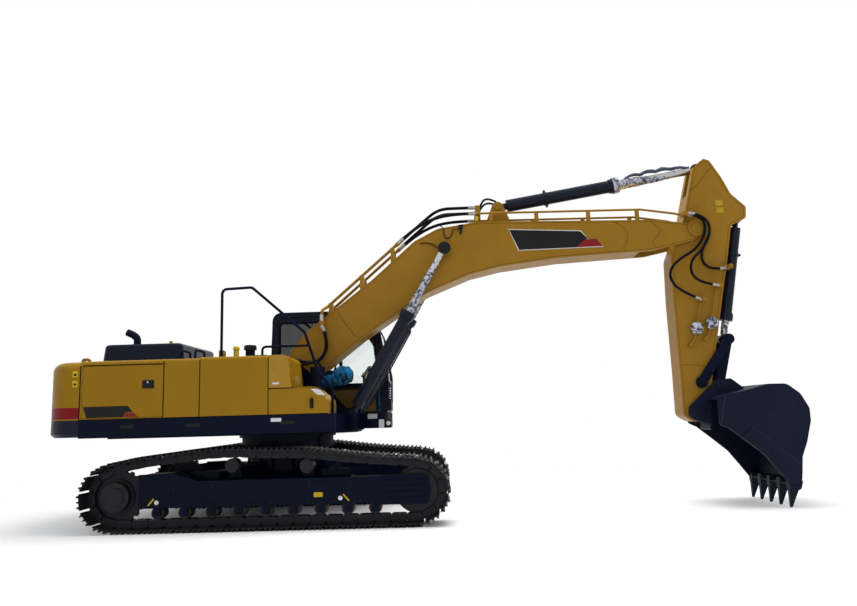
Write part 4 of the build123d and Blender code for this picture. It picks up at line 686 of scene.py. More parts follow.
# Painted highlight: the first pale patch follows the toolbox's rounded shoulder; the second is a small blank plate.
build("toolbox_highlight_and_plate", "upper", pale_plate_and_highlight,
      [across_machine(((0.615, 1.806), (0.690, 1.806), (0.740, 1.790), (0.795, 1.742), (0.803, 1.718), (0.700, 1.728)),
                      (-1.4950, -1.4972)),
       bar_plate((0.100, 0.190), (1.880, 1.905), (-1.4955, -1.4972), 0.003)])
build("handle_pad", "upper", black_trim,
      [bar_plate((0.600, 0.650), (1.550, 1.690), (-1.4940, -1.5085), 0.010, 0.003)])
build("lid_tread", "toolbox_lid", black_trim,
      [turned(((0, 0), (0, 0.010), (0.004, 0.007), (0.004, 0)), (x, y, 1.8415), (0, 0, 1), 8)
       for x in np.arange(0.41, 0.61, 0.045) for y in np.arange(-1.42, -0.83, 0.06)])


# ---------------------------------------------------------------- cab shell's trim
# Rubber gaskets round the panes, a rain gutter, the ochre lower panel at the front, darkened as painted shade, lamps,
# a wiper, a mirror, the door's handles, a blind behind the seat, and rubber mounts below. The black blind and a black
# sheet inside the left rear pane are painted shade for the dark inside of the cab.
def outline(rows, inset=0.0, steps=6):
    """A closed outline of x and z from corners with radii: each corner moves in by inset square to both its sides, and
    a circular arc tangent to both rounds it, as a rational curve of degree two."""
    rows = np.array(rows, float)
    spot, radius = rows[:, :2], rows[:, 2]
    run_in, run_out = spot - np.roll(spot, 1, axis=0), np.roll(spot, -1, axis=0) - spot
    run_in /= np.linalg.norm(run_in, axis=1)[:, None]
    run_out /= np.linalg.norm(run_out, axis=1)[:, None]
    area = np.sum(spot[:, 0] * np.roll(spot[:, 1], -1) - spot[:, 1] * np.roll(spot[:, 0], -1))
    sense = 1.0 if area > 0 else -1.0
    inward = [sense * np.column_stack((-run[:, 1], run[:, 0])) for run in (run_in, run_out)]
    dot = np.clip((run_in * run_out).sum(axis=1), -0.999, 1.0)
    moved = spot + inset * (inward[0] + inward[1]) / (1.0 + dot)[:, None]
    bend = sense * (run_in[:, 0] * run_out[:, 1] - run_in[:, 1] * run_out[:, 0])
    radius = np.maximum(radius - inset * np.sign(bend), 0.0005)
    half = np.arccos(dot) / 2
    reach = (radius * np.tan(half))[:, None]
    start, end, weight = moved - run_in * reach, moved + run_out * reach, np.cos(half)[:, None, None]
    share = np.linspace(0.0, 1.0, steps)[None, :, None]
    low, mid, high = (1 - share) ** 2, 2 * share * (1 - share) * weight, share ** 2
    return ((low * start[:, None] + mid * moved[:, None] + high * end[:, None]) / (low + mid + high)).reshape(-1, 2)


def band(rows, inset, width, near, far):
    """A closed strip along an outline, width wide from inset inwards, between the y values near and far."""
    outer, inner = outline(rows, inset), outline(rows, inset + width)
    return skin([np.column_stack((flat[:, 0], np.full(len(flat), y), flat[:, 1]))
                 for flat, y in ((outer, near), (outer, far), (inner, far), (inner, near), (outer, near))], ends=False)


def pane_glass(name, tint):
    """Thin clear glass: a sharp reflection over full transmission, and nothing held back from shadow rays."""
    material, tree, pane = painted(name)
    wire(tree, pane, {"Base Color": (*tint, 1), "Roughness": 0.02, "Transmission Weight": 1.0, "IOR": 1.45})
    clear, path, mix = add_nodes(tree, "BsdfTransparent", "LightPath", "MixShader")
    wire(tree, clear, {"Color": (*tint, 1)})
    wire(tree, mix, {0: path.outputs["Is Shadow Ray"], 1: pane.outputs[0], 2: clear.outputs[0]})
    wire(tree, tree.nodes["Material Output"], {"Surface": mix.outputs[0]})
    return material


coat_nodes(finish("cab enamel", (0.0040, 0.0060, 0.0150), roughness=0.35, coat=0.03, specular=0.08, dust=0.06,
                  patches=0.25, grain=90.0, bump=0.06, dust_and_sheen_colour=(0.03, 0.03, 0.035)), "cab_shell", "cab_door")
coat_nodes(pane_glass("cab glass", (0.90, 0.94, 0.93)), "cab_glass", "door_glass")
right_pane = ((0.560, 1.900, 0.05), (1.330, 1.900, 0.05), (1.340, 2.100, 0.20), (1.290, 2.700, 0.06),
              (1.130, 2.960, 0.08), (0.560, 2.960, 0.05))
door_pane = ((0.280, 1.980, 0.06), (1.250, 1.980, 0.06), (1.250, 2.120, 0.15), (1.190, 2.650, 0.15),
             (1.020, 2.920, 0.06), (0.280, 2.920, 0.06))
rear_panes = [((-0.250, 2.250, 0.05), (ahead, 2.250, 0.05), (ahead, 2.960, 0.05), (-0.250, 2.960, 0.06))
              for ahead in (0.490, 0.110)]
right_wall, left_wall = (0.502, 0.4885), (1.480, 1.4935)
build("pane_gaskets", "upper", rubber,
      [band(pane, -0.004, 0.022, *wall) for pane, wall in
       ((right_pane, right_wall), (rear_panes[0], right_wall), (rear_panes[1], left_wall))])
build("door_gasket", "cab_door", rubber, [band(door_pane, -0.004, 0.022, *left_wall)])
# Painted shade: the machine's ochre, darkened for the shade on the cab's side wall.
build("cab_lower_panel", "upper",
      finish("cab panel ochre, painted shade", (0.105, 0.058, 0.010), patches=0.4, grain=60.0, bump=0.1),
      [bar_plate((0.560, 1.300), (1.500, 1.850), (0.4935, 0.4865), 0.02, 0.002)])
build("cab_lower_frame", "upper", black_trim,
      [band(((0.54, 1.485, 0.03), (1.32, 1.485, 0.03), (1.32, 1.87, 0.03), (0.54, 1.87, 0.03)), 0.0, 0.022,
            0.4940, 0.4850)])
gutter = ((-0.37, 2.60), (-0.35, 3.045), (0.30, 3.065), (1.08, 3.055), (1.30, 2.80))
build("rain_gutter", "upper", black_trim, [tube(at_y(1.4985, gutter), 0.010, 8), tube(at_y(0.4900, gutter), 0.008, 8)],
      smooth=50)
hatch, hatch_faces = band(((0.30, 0.62, 0.06), (0.95, 0.62, 0.06), (0.95, 1.36, 0.06), (0.30, 1.36, 0.06)), 0.0, 0.03,
                          3.126, 3.140)
build("roof_hatch", "upper", rubber, [(hatch[:, (0, 2, 1)], hatch_faces)])
build("front_lamp_body", "upper", black_trim,
      [bar_plate((1.440, 1.545), (1.230, 1.375), (0.490, 0.600), 0.02, 0.006),
       bar_plate((1.455, 1.490), (1.365, 1.480), (0.520, 0.570), 0.005)], bevel=0.003)
build("front_lamp_lens", "upper",
      finish("lamp lens", (0.72, 0.74, 0.76), roughness=0.15, coat=0.5, specular=0.5, dust=0.15, patches=0.2,
             grain=60.0, bump=0.4),
      [bar_plate((1.340, 1.425), (1.238, 1.372), (0.4830, 0.4800), 0.015),
       turned(((0, 0), (0, 0.036), (0.008, 0.030), (0.008, 0)), (1.490, 0.4905, 1.310), (0, -1, 0), 16)])
build("front_plate", "upper", pale_plate_and_highlight, [bar_plate((1.165, 1.317), (1.386, 1.461), (0.4830, 0.4805), 0.006)])
share = np.linspace(0, 1, 220)
coil = np.column_stack((1.512 + 0.026 * np.cos(share * 18 * np.pi), 0.545 + 0.026 * np.sin(share * 18 * np.pi),
                        1.56 + 0.36 * share))
build("front_step", "upper", black_trim,
      [bar_plate((1.500, 1.545), (1.495, 1.70), (0.52, 0.60), 0.012, 0.004), skin(rings_along(coil, 0.009, 8)),
       tube(at_y(0.545, ((1.505, 1.92), (1.545, 2.02), (1.535, 2.16), (1.490, 2.24))), 0.010, 8)],
      bevel=0.002)
build("front_bar", "upper", teal_film_and_sheen,
      [skin(rings_along(between((1.352, 0.482, 1.500), (1.345, 0.482, 1.905), np.linspace(0, 1, 4)), 0.016, 10))],
      smooth=50)
# Painted shade: a black sheet inside the left rear pane and a black blind across the back of the cab.
build("rear_shade_sheet", "upper", black_trim, [bar_plate((-0.334, 0.170), (2.180, 3.020), (1.415, 1.430), 0.04, 0.004)])
build("rear_shade_blind", "upper", black_trim,
      [skin([[(x - 0.002, 0.56, z), (x, 0.56, z), (x, 1.40, z), (x - 0.002, 1.40, z)] for x, z in
             ((-0.330 + 0.006 * (step % 2), 2.20 + 0.020 * step) for step in range(41))])])
wiper_path = eased(((1.512, 0.700, 1.90), (1.520, 0.710, 2.05), (1.470, 0.760, 2.45), (1.430, 0.790, 2.68)), 2)
build("wiper", "upper", black_trim,
      [skin(rings_along(wiper_path, 0.007, 8)),
       turned(((0, 0), (0, 0.028), (0.03, 0.026), (0.034, 0)), (1.494, 0.700, 1.90), (1, 0, 0), 14),
       skin(rings_along(wiper_path[4:] + (0.002, 0.028, 0.01), 0.006, 8))], smooth=50)
turn = np.linspace(0, 2 * np.pi, 24, endpoint=False)
across, height = np.cos(turn), np.sin(turn)
square_height = 2.37 + 0.15 * np.sign(height) * np.abs(height) ** 0.5
build("left_mirror", "upper", black_trim,
      [tube(((1.32, 1.488, 2.62), (1.36, 1.540, 2.62), (1.44, 1.560, 2.58), (1.45, 1.560, 2.50)), 0.011, 10),
       skin([np.column_stack((x + 0.020 * np.cos(2.2 * across), 1.500 + 0.085 * across, square_height))
             for x in (1.418, 1.424, 1.450, 1.456)])], smooth=45)
build("mirror_glass", "upper",
      finish("silvered glass", (0.75, 0.78, 0.80), roughness=0.03, metallic=1.0, specular=0.5, dust=0.05, patches=0.05,
             grain=20.0, bump=0.0),
      [along_machine(np.column_stack((1.500 + 0.072 * across, 2.37 + 0.13 * height)), (1.4375, 1.4360))])
build("door_handles", "cab_door", black_trim,
      [tube(((1.215, 1.488, 2.02), (1.222, 1.530, 2.04), (1.225, 1.536, 2.30), (1.215, 1.530, 2.56),
             (1.205, 1.488, 2.58)), 0.012, 10),
       bar_plate((1.085, 1.245), (1.825, 1.915), (1.4995, 1.5035), 0.015),
       bar_plate((1.105, 1.225), (1.845, 1.880), (1.503, 1.516), 0.012, 0.005)], smooth=45)
build("cab_mount_rubbers", "upper", rubber,
      [turned(((0, 0), (0, 0.045), (0.02, 0.052), (0.04, 0.045), (0.04, 0)), (x, y, 1.452), (0, 0, 1), 18)
       for x in (-0.25, 1.05) for y in (0.60, 1.38)])


# ---------------------------------------------------------------- driver's seat
# A suspension seat: a base cushion, a tall backrest and a headrest on two posts, foam under
# woven charcoal cloth with sewn channels and piped edges, on a bellows-covered box.
def cushion(centre, turn, half, channels, crown=0.6, pull=0.05, count=33):
    """A crowned closed form on a grid of u and v from -1 to 1, and a piping along its rim: thickness falls from the
    middle to nothing at the rim as a dome, the rim pulls in between its corners, and grooves cross the top where
    channels are sewn."""
    def placed(u, v, height):
        """Points of the grid in place, with the rim pulled in."""
        return np.stack((half[0] * u * (1 - pull * (1 - v ** 2) * u ** 2),
                         half[1] * v * (1 - pull * (1 - u ** 2) * v ** 2), half[2] * height), axis=-1) @ turn.T + centre

    rim = np.linspace(-1, 1, count)
    u, v = np.meshgrid(rim, rim, indexing="ij")
    dome = ((1 - u ** 4) * (1 - v ** 4)) ** 0.42
    groove = 1.0 - sum(0.22 * np.exp(-((u - line) / 0.035) ** 2) for line in np.linspace(-0.55, 0.55, channels))
    pad = [skin(placed(u, v, height), closed=False, ends=False) for height in (dome * groove, -dome * crown)]
    edge_u = np.concatenate((rim, np.ones(count - 1), rim[::-1][1:], -np.ones(count - 1)))
    edge_v = np.concatenate((-np.ones(count), rim[1:], np.ones(count - 1), rim[::-1][1:]))
    return pad, [skin(rings_along(placed(edge_u, edge_v, 0 * edge_u), 0.005, 6), ends=False)]


def seat_cloth_material():
    """Woven charcoal cloth: two crossed waves at thread pitch raise the surface and shade it, with a soft sheen."""
    material, tree, shader = painted("seat cloth")
    place, warp, weft, relief = add_nodes(tree, "TexCoord", "TexWave", "TexWave", "Bump")
    weft.bands_direction = "Y"
    for thread in (warp, weft):
        wire(tree, thread, {"Scale": 150.0, "Vector": place.outputs["Object"]})
    cross = calc(tree, "MULTIPLY", warp.outputs["Fac"], weft.outputs["Fac"])
    wire(tree, relief, {"Strength": 0.4, "Distance": 0.001, "Height": cross})
    wire(tree, shader, {"Base Color": mixed(tree, cross, (0.010, 0.011, 0.013, 1), (0.040, 0.042, 0.048, 1)),
                        "Normal": relief.outputs["Normal"], "Roughness": 0.9, "Sheen Weight": 0.3})
    return material


moulded = finish("moulded trim", (0.012, 0.012, 0.014), roughness=0.6, dust=0.15, grain=500.0, patches=0.2, bump=0.3,
                 depth=0.0005)
coat_nodes(moulded, "consoles", "seat")
seat_cloth = seat_cloth_material()
seat_y = 0.991
lean = math.radians(8.5)
upright = np.array(((-math.sin(lean), 0, math.cos(lean)), (0, 1, 0), (math.cos(lean), 0, math.sin(lean)))).T
for name, x, z, turn, half, channels in (("seat_cushion", 0.365, 1.925, np.eye(3), (0.25, 0.25, 0.075), 3),
                                         ("seat_back", 0.105, 2.27, upright, (0.30, 0.235, 0.070), 4),
                                         ("seat_headrest", 0.045, 2.63, upright, (0.085, 0.15, 0.050), 0)):
    pad, piping = cushion((x, seat_y, z), turn, half, channels)
    piece = build(name, "upper", seat_cloth, pad, ("seat",), smooth=60)
    build(name + "_piping", "upper", rubber, piping, smooth=60)
turn = np.linspace(0, 2 * np.pi, 40, endpoint=False)
square_x, square_y = (np.sign(side) * np.abs(side) ** 0.4 for side in (np.cos(turn), np.sin(turn)))
folds = [(z, 0.17 + 0.012 * (step % 2)) for step, z in enumerate(np.linspace(1.56, 1.85, 13))]
build("seat_bellows", "upper", rubber,
      [skin([np.column_stack((0.34 + size * 1.1 * square_x, seat_y + size * square_y, np.full(40, z)))
             for z, size in folds])]
      + [turned(((0, 0), (0, 0.015), (0.09, 0.015), (0.09, 0)), (0.035, y, 2.52), (-0.15, 0, 0.99), 10)
         for y in (0.93, 1.05)], ("seat",), smooth=30)

# ---------------------------------------------------------------- controls in the cab
# Moulded armrest consoles with rubber bellows under the levers, a dark blank monitor on its
# arm, and a ribbed rubber mat.
bellows = [(0.0, 0.0)] + [(0.006 * step, (0.046 if step % 2 else 0.036) - 0.0016 * step) for step in range(14)]
build("lever_bellows", "upper", rubber,
      [turned(bellows + [(0.082, 0.0)], (0.630, seat_y + hand * 0.325, 2.138), (0, 0, 1), 20) for hand in (-1, 1)],
      smooth=30)
build("lever_grips", "upper", moulded,
      [tube([(x, seat_y + hand * side, z) for x, side, z in
             ((0.630, 0.325, 2.26), (0.634, 0.325, 2.31), (0.622, 0.322, 2.37), (0.612, 0.318, 2.40))],
            0.030 + 0.004 * np.sin(np.arange(16)), 16, 2) for hand in (-1, 1)], smooth=60)


def slanted(corners, y_half, z_half, reach):
    """A plate leaning with the monitor: corners of y and z as shares of its half sizes, over the x values reach."""
    return skin([[(x + 0.06 * z, 0.66 + y_half * y, 2.14 + z_half * z) for y, z in corners] for x in reach])


build("monitor", "upper", moulded,
      [slanted(((-1, -0.9), (-0.9, -1), (0.9, -1), (1, -0.9), (1, 0.9), (0.9, 1), (-0.9, 1), (-1, 0.9)), 0.11, 0.085,
               (1.12, 1.165)),
       tube(((1.15, 0.66, 2.07), (1.20, 0.62, 1.98), (1.28, 0.55, 1.90)), 0.012, 10)], bevel=0.004)
build("monitor_screen", "upper",
      finish("dark screen", (0.004, 0.005, 0.007), roughness=0.08, coat=0.5, specular=0.5, dust=0.05, patches=0.1,
             grain=40.0, bump=0.0),
      [slanted(((-1, -1), (1, -1), (1, 1), (-1, 1)), 0.095, 0.070, (1.119, 1.117))])
build("floor_mat", "upper", rubber,
      [along_machine(((low, 1.5205), (low, 1.5245), (low + 0.016, 1.5245), (low + 0.016, 1.5205)), (0.62, 1.38))
       for low in np.arange(0.60, 1.38, 0.045)])

# ---------------------------------------------------------------- boom
# A welded box girder: fine weld seams along its plates, darker than the enamel as painted shade, blank badges on
# both flanks, black covers on the pins, and thin grease lines clipped to its right side.
boom_enamel = finish("ochre enamel on plate", (0.242, 0.122, 0.008), roughness=0.42, specular=0.18, dust=0.14,
                     patches=0.28, grain=60.0, bump=0.12, depth=0.0015)
coat_nodes(boom_enamel, "boom", "boom_pipes", "arm", "arm_pipes")
# Painted shade: the seams and the lines along the plates' edges are a darker ochre than the enamel.
seam_shade = finish("weld seam ochre, painted shade", (0.105, 0.046, 0.004), roughness=0.6, specular=0.1, patches=0.4, grain=200.0,
                    bump=0.5)
boom_rows = ((0.030, 2.150, 0.09), (0.090, 2.440, 0.12), (0.320, 2.710, 0.20), (1.330, 3.480, 0), (2.000, 4.070, 0.30),
             (2.370, 4.260, 0.30), (3.000, 4.350, 0.40), (5.700, 4.290, 0.20), (6.360, 4.200, 0.14),
             (6.440, 4.060, 0.12), (6.250, 3.940, 0.10), (5.640, 3.810, 0.30), (5.070, 3.785, 0), (4.220, 3.743, 0),
             (3.320, 3.635, 0), (2.850, 3.530, 0.30), (2.180, 3.262, 0.30), (1.180, 2.600, 0), (0.500, 2.070, 0.20),
             (0.250, 1.960, 0.12))
boom_seams = (((5.050, 4.300), (5.130, 4.250), (5.240, 4.180), (5.285, 4.040), (5.250, 3.940), (5.200, 3.860)),
              ((5.640, 4.290), (5.700, 4.220), (5.800, 4.115), (5.700, 4.000), (5.640, 3.940), (5.690, 3.860)),
              ((2.090, 4.020), (2.213, 4.022), (2.305, 3.994), (2.335, 3.945)),
              ((1.08, 2.62), (0.93, 2.82), (0.80, 3.02)))


def seam_lines(lines, y, thickness=0.0035):
    """Thin beads along smooth lines of x and z, on the flank at y."""
    return [tube(at_y(y, line), thickness, 5) for line in lines]


build("boom_seams", "boom", seam_shade,
      [part for hand in (-1, 1) for part in seam_lines(boom_seams, hand * 0.2605)
       + [band(boom_rows, 0.024, 0.005, hand * 0.2590, hand * 0.2618)]], smooth=60)
top_edge = ((3.468, 4.203), (4.556, 4.146), (4.668, 4.026))
badge_rim = np.array(top_edge + ((4.800, 4.016), (4.893, 3.903), (3.607, 3.883)))
badge_rim += 0.012 * np.sign(badge_rim - badge_rim.mean(axis=0))
for side, hand in (("right", -1), ("left", 1)):
    badge("boom_badge_" + side, "boom", 0.2590, 0.2628, top_edge + ((4.626, 4.018), (4.476, 3.895), (3.607, 3.883)),
          ((4.626, 4.018), (4.800, 4.016), (4.893, 3.903), (4.476, 3.895)), hand)
    build("boom_badge_rim_" + side, "boom", pale_plate_and_highlight, [across_machine(badge_rim, (hand * 0.2590, hand * 0.2612))])


def pin_caps(x, z, y, radius, proud):
    """Round covers over both ends of a pin, dished at their rims, with three bolts each."""
    parts = []
    for hand in (-1, 1):
        parts.append(turned(((-0.004, 0.0), (-0.004, radius), (proud * 0.6, radius), (proud, radius * 0.9),
                             (proud, radius * 0.3), (proud * 0.8, 0.0)), (x, hand * y, z), (0, hand, 0), 30))
        parts.append(bolt_heads([(x + 0.55 * radius * math.cos(turn), hand * (y + proud - 0.002),
                                  z + 0.55 * radius * math.sin(turn)) for turn in 0.5 + np.arange(3) * 2 * np.pi / 3],
                                0.006, (0, hand, 0), 0.009))
    return parts


build("boom_tip_caps", "boom", boom_enamel, pin_caps(6.330, 4.141, 0.282, 0.085, 0.010))
build("boom_foot_caps", "upper", dark_enamel, pin_caps(0.170, 2.106, 0.336, 0.066, 0.010))
build("boom_base_caps", "upper", dark_enamel, pin_caps(1.020, 1.450, 0.464, 0.055, 0.008))
build("grease_lines", "boom", black_trim,
      [tube(at_y(-0.270, line), 0.007, 8) for line in
       (((2.391, 4.308), (2.467, 4.267), (2.458, 4.172), (2.493, 4.092), (2.555, 4.106), (2.595, 4.184), (2.590, 4.238),
         (2.652, 4.229), (2.700, 4.250)),
        ((2.090, 4.035), (2.213, 4.037), (2.305, 4.009), (2.345, 3.950)))]
      + [across_machine(((2.685, 4.308), (2.763, 4.314), (2.751, 4.242), (2.732, 4.150), (2.705, 4.155),
                         (2.700, 4.240)), (-0.258, -0.290), 0.006)], smooth=60)

# ---------------------------------------------------------------- pipe and hose fittings
# Crimped, ribbed and zinc-plated sleeves where each hose meets its pipe or block, pushed on
# over the hose's end.
fitting_steel = finish("zinc plated fittings", (0.42, 0.40, 0.36), roughness=0.35, metallic=0.85, dust=0.25,
                       patches=0.3, grain=300.0)


def sleeve(tip, toward, length, radius):
    """A ribbed sleeve on a hose: a profile of radius turned about the line from tip toward a point."""
    tip, toward = np.array(tip, float), np.array(toward, float)
    rows = [(0.0, 0.0), (0.0, radius * 0.98), (length * 0.25, radius * 0.98), (length * 0.27, radius * 0.86)]
    for rib in (0.36, 0.52, 0.68, 0.84):
        rows += [(length * (rib + along), radius * size)
                 for along, size in ((0, 0.90), (0.03, 1), (0.09, 1), (0.12, 0.90))]
    return turned(rows + [(length, radius * 0.90), (length, 0.0)], tip,
                  (toward - tip) / np.linalg.norm(toward - tip), 18)


foot_lanes, tip_lanes = (-0.350, -0.400), (-0.310, -0.358, -0.250)
build("boom_sleeves", "boom", fitting_steel,
      [sleeve((1.745, hand * y, 4.057), (1.976, hand * y, z), 0.11, 0.030)
       for hand in (-1, 1) for y, z in ((0.225, 4.2578), (0.165, 4.262))]
      + [sleeve((2.960, hand * y, z), (2.70, hand * y, z + 0.002), 0.11, 0.030)
         for hand in (-1, 1) for y, z in ((0.225, 4.490), (0.165, 4.600))]
      + [sleeve((0.584, y, 2.795), (0.640, y, 2.655), 0.10, 0.030) for y in foot_lanes]
      + [turned(((0, 0), (0, 0.027), (0.13, 0.027), (0.14, 0.020), (0.14, 0)), (0.585, y, 2.815), (0, 0, 1), 16)
         for y in foot_lanes]
      + [sleeve((6.190, y, 4.352), (6.40, y, 4.325), 0.10, 0.026) for y in tip_lanes], smooth=40)
build("arm_sleeves", "arm", fitting_steel,
      [sleeve((x, y, z), (far_x, y, far_z), 0.10, 0.026) for y, x, z, far_x, far_z in
       ((-0.310, 6.304, 3.021, 5.980, 3.160), (-0.358, 6.564, 3.220, 6.290, 3.270),
        (-0.250, 6.738, 3.510, 6.520, 3.480))], smooth=40)
build("knee_bracket", "boom", marker_yellow, [bar_plate((2.955, 3.000), (4.36, 4.44), (-0.262, -0.190), 0.01, 0.003)],
      bevel=0.003)

# ---------------------------------------------------------------- cylinders
# Dark enamelled barrels with a feed pipe and a clamp band, chromed rods that are wrapped for
# shipping in crumpled metal foil, and dark covers on the rods' eyes. The foils' strong light and dark patches and
# dark flecks are painted reflections of the crumples.
cylinder_enamel = finish("cylinder enamel", (0.0050, 0.0075, 0.0170), roughness=0.32, coat=0.04, specular=0.12,
                         dust=0.10, patches=0.3, grain=90.0, bump=0.06, dust_and_sheen_colour=(0.04, 0.035, 0.03))
coat_nodes(cylinder_enamel, "boom_barrels", "arm_barrel", "bucket_barrel")
coat_nodes(bright_steel, "boom_rods", "arm_rod", "bucket_rod")
# Painted reflections: strong light and dark patches and dark flecks stand for the crumpled foils' reflections.
foil = crease_shaded(finish("crumpled foil with painted reflections", (0.46, 0.48, 0.54), roughness=0.30, metallic=0.55, specular=0.4, dust=0.3,
                      patches=1.2, grain=35.0, bump=0.9, depth=0.012, dust_and_sheen_colour=(0.06, 0.07, 0.12)),
               22.0, (0.045, 0.050, 0.075))
gold_foil = crease_shaded(finish("gold foil with painted reflections", (0.62, 0.46, 0.22), roughness=0.3, metallic=0.55, specular=0.4, dust=0.3,
                           patches=1.2, grain=35.0, bump=0.9, depth=0.012, dust_and_sheen_colour=(0.20, 0.16, 0.08)),
                    20.0, (0.10, 0.08, 0.05))
blue_foil = finish("blue grey film with painted highlights", (0.045, 0.055, 0.095), roughness=0.3, metallic=0.3, specular=0.5, dust=0.3,
                   patches=1.2, grain=35.0, bump=0.8, depth=0.010, dust_and_sheen_colour=(0.35, 0.36, 0.40))
across_way = np.array((0.0, 1.0, 0.0))


def barrel_dress(name, body, base, rod, length, radius, places, clamp):
    """Pipework on barrels at places along y: a feed pipe, a lugged clamp band at the share clamp, a bolted gland."""
    start, end = np.array((base[0], 0.0, base[1])), np.array((rod[0], 0.0, rod[1]))
    axis = (end - start) / np.linalg.norm(end - start)
    off = np.array((-axis[2], 0.0, axis[0]))
    parts = []
    for y in places:
        foot = start + across_way * y
        clamped = foot + axis * length * clamp
        out = -off if y else across_way
        pipe = [foot + axis * along + out * away for along, away in
                ((0.24, radius * 0.9), (0.25, radius + 0.014), (0.36, radius + 0.014), (length - 0.30, radius + 0.014),
                 (length - 0.20, radius + 0.012), (length - 0.18, radius * 0.9))]
        heads = [foot + axis * (length - 0.012) + radius * 0.78 * (math.cos(turn) * off + math.sin(turn) * across_way)
                 for turn in np.linspace(0, 2 * np.pi, 8, endpoint=False)]
        parts += [tube(pipe, 0.012, 10),
                  turned(((-0.03, radius), (-0.03, radius + 0.008), (0.03, radius + 0.008), (0.03, radius)), clamped,
                         axis, 28, ring=True),
                  turned(((length - 0.012, radius - 0.006), (length - 0.012, radius + 0.022),
                          (length - 0.10, radius + 0.022), (length - 0.105, radius + 0.014),
                          (length - 0.105, radius - 0.006)), foot, axis, 30, ring=True),
                  bolt_heads(heads, 0.014, axis, 0.012)]
        parts += [turned(((-0.024, 0), (-0.024, 0.020), (0.024, 0.020), (0.024, 0)),
                         clamped + off * (radius + 0.022) * way, across_way, 10) for way in (1, -1)]
    build(name, body, cylinder_enamel, parts, smooth=45)


barrel_dress("boom_barrel_pipes", "boom_barrels", (1.020, 1.450), (2.457, 3.926), 1.750, 0.090, (-0.372, 0.372), 0.40)
barrel_dress("arm_barrel_pipe", "arm_barrel", (3.320, 4.630), (6.480, 5.140), 1.945, 0.098, (0.0,), 0.40)
barrel_dress("bucket_barrel_pipe", "bucket_barrel", (7.050, 4.320), (6.688, 2.424), 1.625, 0.085, (0.0,), 0.35)
build("supply_hoses", "boom", hose_rubber,
      [tube(((3.035, hand * 0.165, 4.60), (3.060, hand * 0.160, 4.66), (3.110, hand * 0.120, top - 0.02),
             (3.190, hand * 0.075, top), (3.300, hand * 0.060, low)), 0.017, 10)
       for hand, top, low in ((-1, 4.76, 4.715), (1, 4.74, 4.700))], smooth=60)
for name, body, x, z, radius, places in (
        ("boom_rod_eyes", "boom_rods", 2.457, 3.926, 0.0845, ((-0.4135, -0.3305), (0.3305, 0.4135))),
        ("arm_rod_eye", "arm_rod", 6.480, 5.140, 0.0885, ((-0.0565, 0.0565),)),
        ("bucket_rod_eye", "bucket_rod", 6.688, 2.424, 0.0805, ((-0.0515, 0.0515),))):
    build(name, body, cylinder_enamel,
          [turned(((low, 0.0), (low, radius - 0.004), (low + 0.004, radius), (high - 0.004, radius),
                   (high, radius - 0.004), (high, 0.0)), (x, 0, z), (0, 1, 0), 36) for low, high in places],
          smooth=40)
build("boom_rod_caps", "boom_rods", black_trim, pin_caps(2.458, 3.918, 0.4130, 0.098, 0.018))


def rod_wrap(name, body, material, parts):
    """A crumpled wrapping on a rod or its collar."""
    return build(name, body, material, parts, smooth=18)


wrapped = np.linspace(0.0, 1.0, 64)
piece = rod_wrap("boom_rod_foil", "boom_rods", foil,
                 [wrap(between((1.9045, y, 2.974), (2.425, y, 3.871), wrapped), 0.070 - 0.016 * wrapped, 0.26, seed, 30)
                  for y, seed in ((-0.372, 7), (0.372, 8))])
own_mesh(piece)
sagging = between((5.245, 0.0, 4.941), (6.390, 0.0, 5.124), wrapped)
sagging[:, 2] += 0.010 * np.sin(9 * wrapped)
ragged = between((5.36, 0.0, 5.035), (6.385, 0.0, 5.185), wrapped)
ragged[:, 2] += 0.035 * np.abs(np.sin(13 * wrapped)) * (1 - 0.6 * wrapped) + 0.035 * np.sin(np.pi * wrapped)
for name, material, path, radius, depth, seed, sides, creases in (
        ("arm_rod_foil", foil, sagging, 0.088 - 0.034 * wrapped, 0.40, 11, 30, 9),
        ("arm_rod_foil_gold", gold_foil, between((5.25, 0.0, 4.905), (5.95, 0.0, 5.025), wrapped),
         0.062 - 0.018 * wrapped, 0.45, 13, 24, 8),
        ("arm_rod_film", blue_foil, ragged, 0.026 + 0.014 * np.sin(np.pi * wrapped), 0.5, 17, 16, 6)):
    piece = rod_wrap(name, "arm_rod", material, [wrap(path, radius, depth, seed, sides, creases)])
    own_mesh(piece)
rod_wrap("arm_collar_foil", "arm_barrel", foil,
         [wrap(between((5.150, 0.0, 4.9255), (5.245, 0.0, 4.941), np.linspace(0, 1, 14)), 0.132, 0.08, 19, 36, 6)])
rod_wrap("bucket_rod_foil", "bucket_rod", foil,
         [wrap(between((6.741, 0.0, 2.703), (6.706, 0.0, 2.520), np.linspace(0, 1, 20)), 0.062, 0.30, 23, 26, 6)])

# ---------------------------------------------------------------- arm
# Box girder with fine seams, darker than the enamel as painted shade, blank yellow labels, foil-wrapped valve heads
# and dark covers on the linkage pins.
coat_nodes(dark_enamel, "side_links", "bucket_link")
arm_rows = ((6.550, 5.262, 0.04), (6.640, 5.230, 0.06), (6.800, 4.960, 0), (6.930, 4.680, 0), (7.140, 4.470, 0.04),
            (7.130, 4.290, 0.06), (6.890, 4.180, 0.08), (6.770, 3.560, 0), (6.650, 3.020, 0), (6.400, 1.820, 0),
            (6.290, 1.330, 0.10), (6.120, 1.190, 0.11), (5.930, 1.300, 0.11), (5.930, 1.980, 0), (5.915, 3.040, 0.20),
            (5.930, 3.700, 0.20), (6.180, 4.330, 0.10), (6.380, 5.130, 0.11))
arm_seams = (((6.300, 4.760), (6.420, 4.820), (6.560, 5.020), (6.640, 5.110)),
             ((5.95, 2.05), (6.10, 2.06), (6.38, 2.02)))
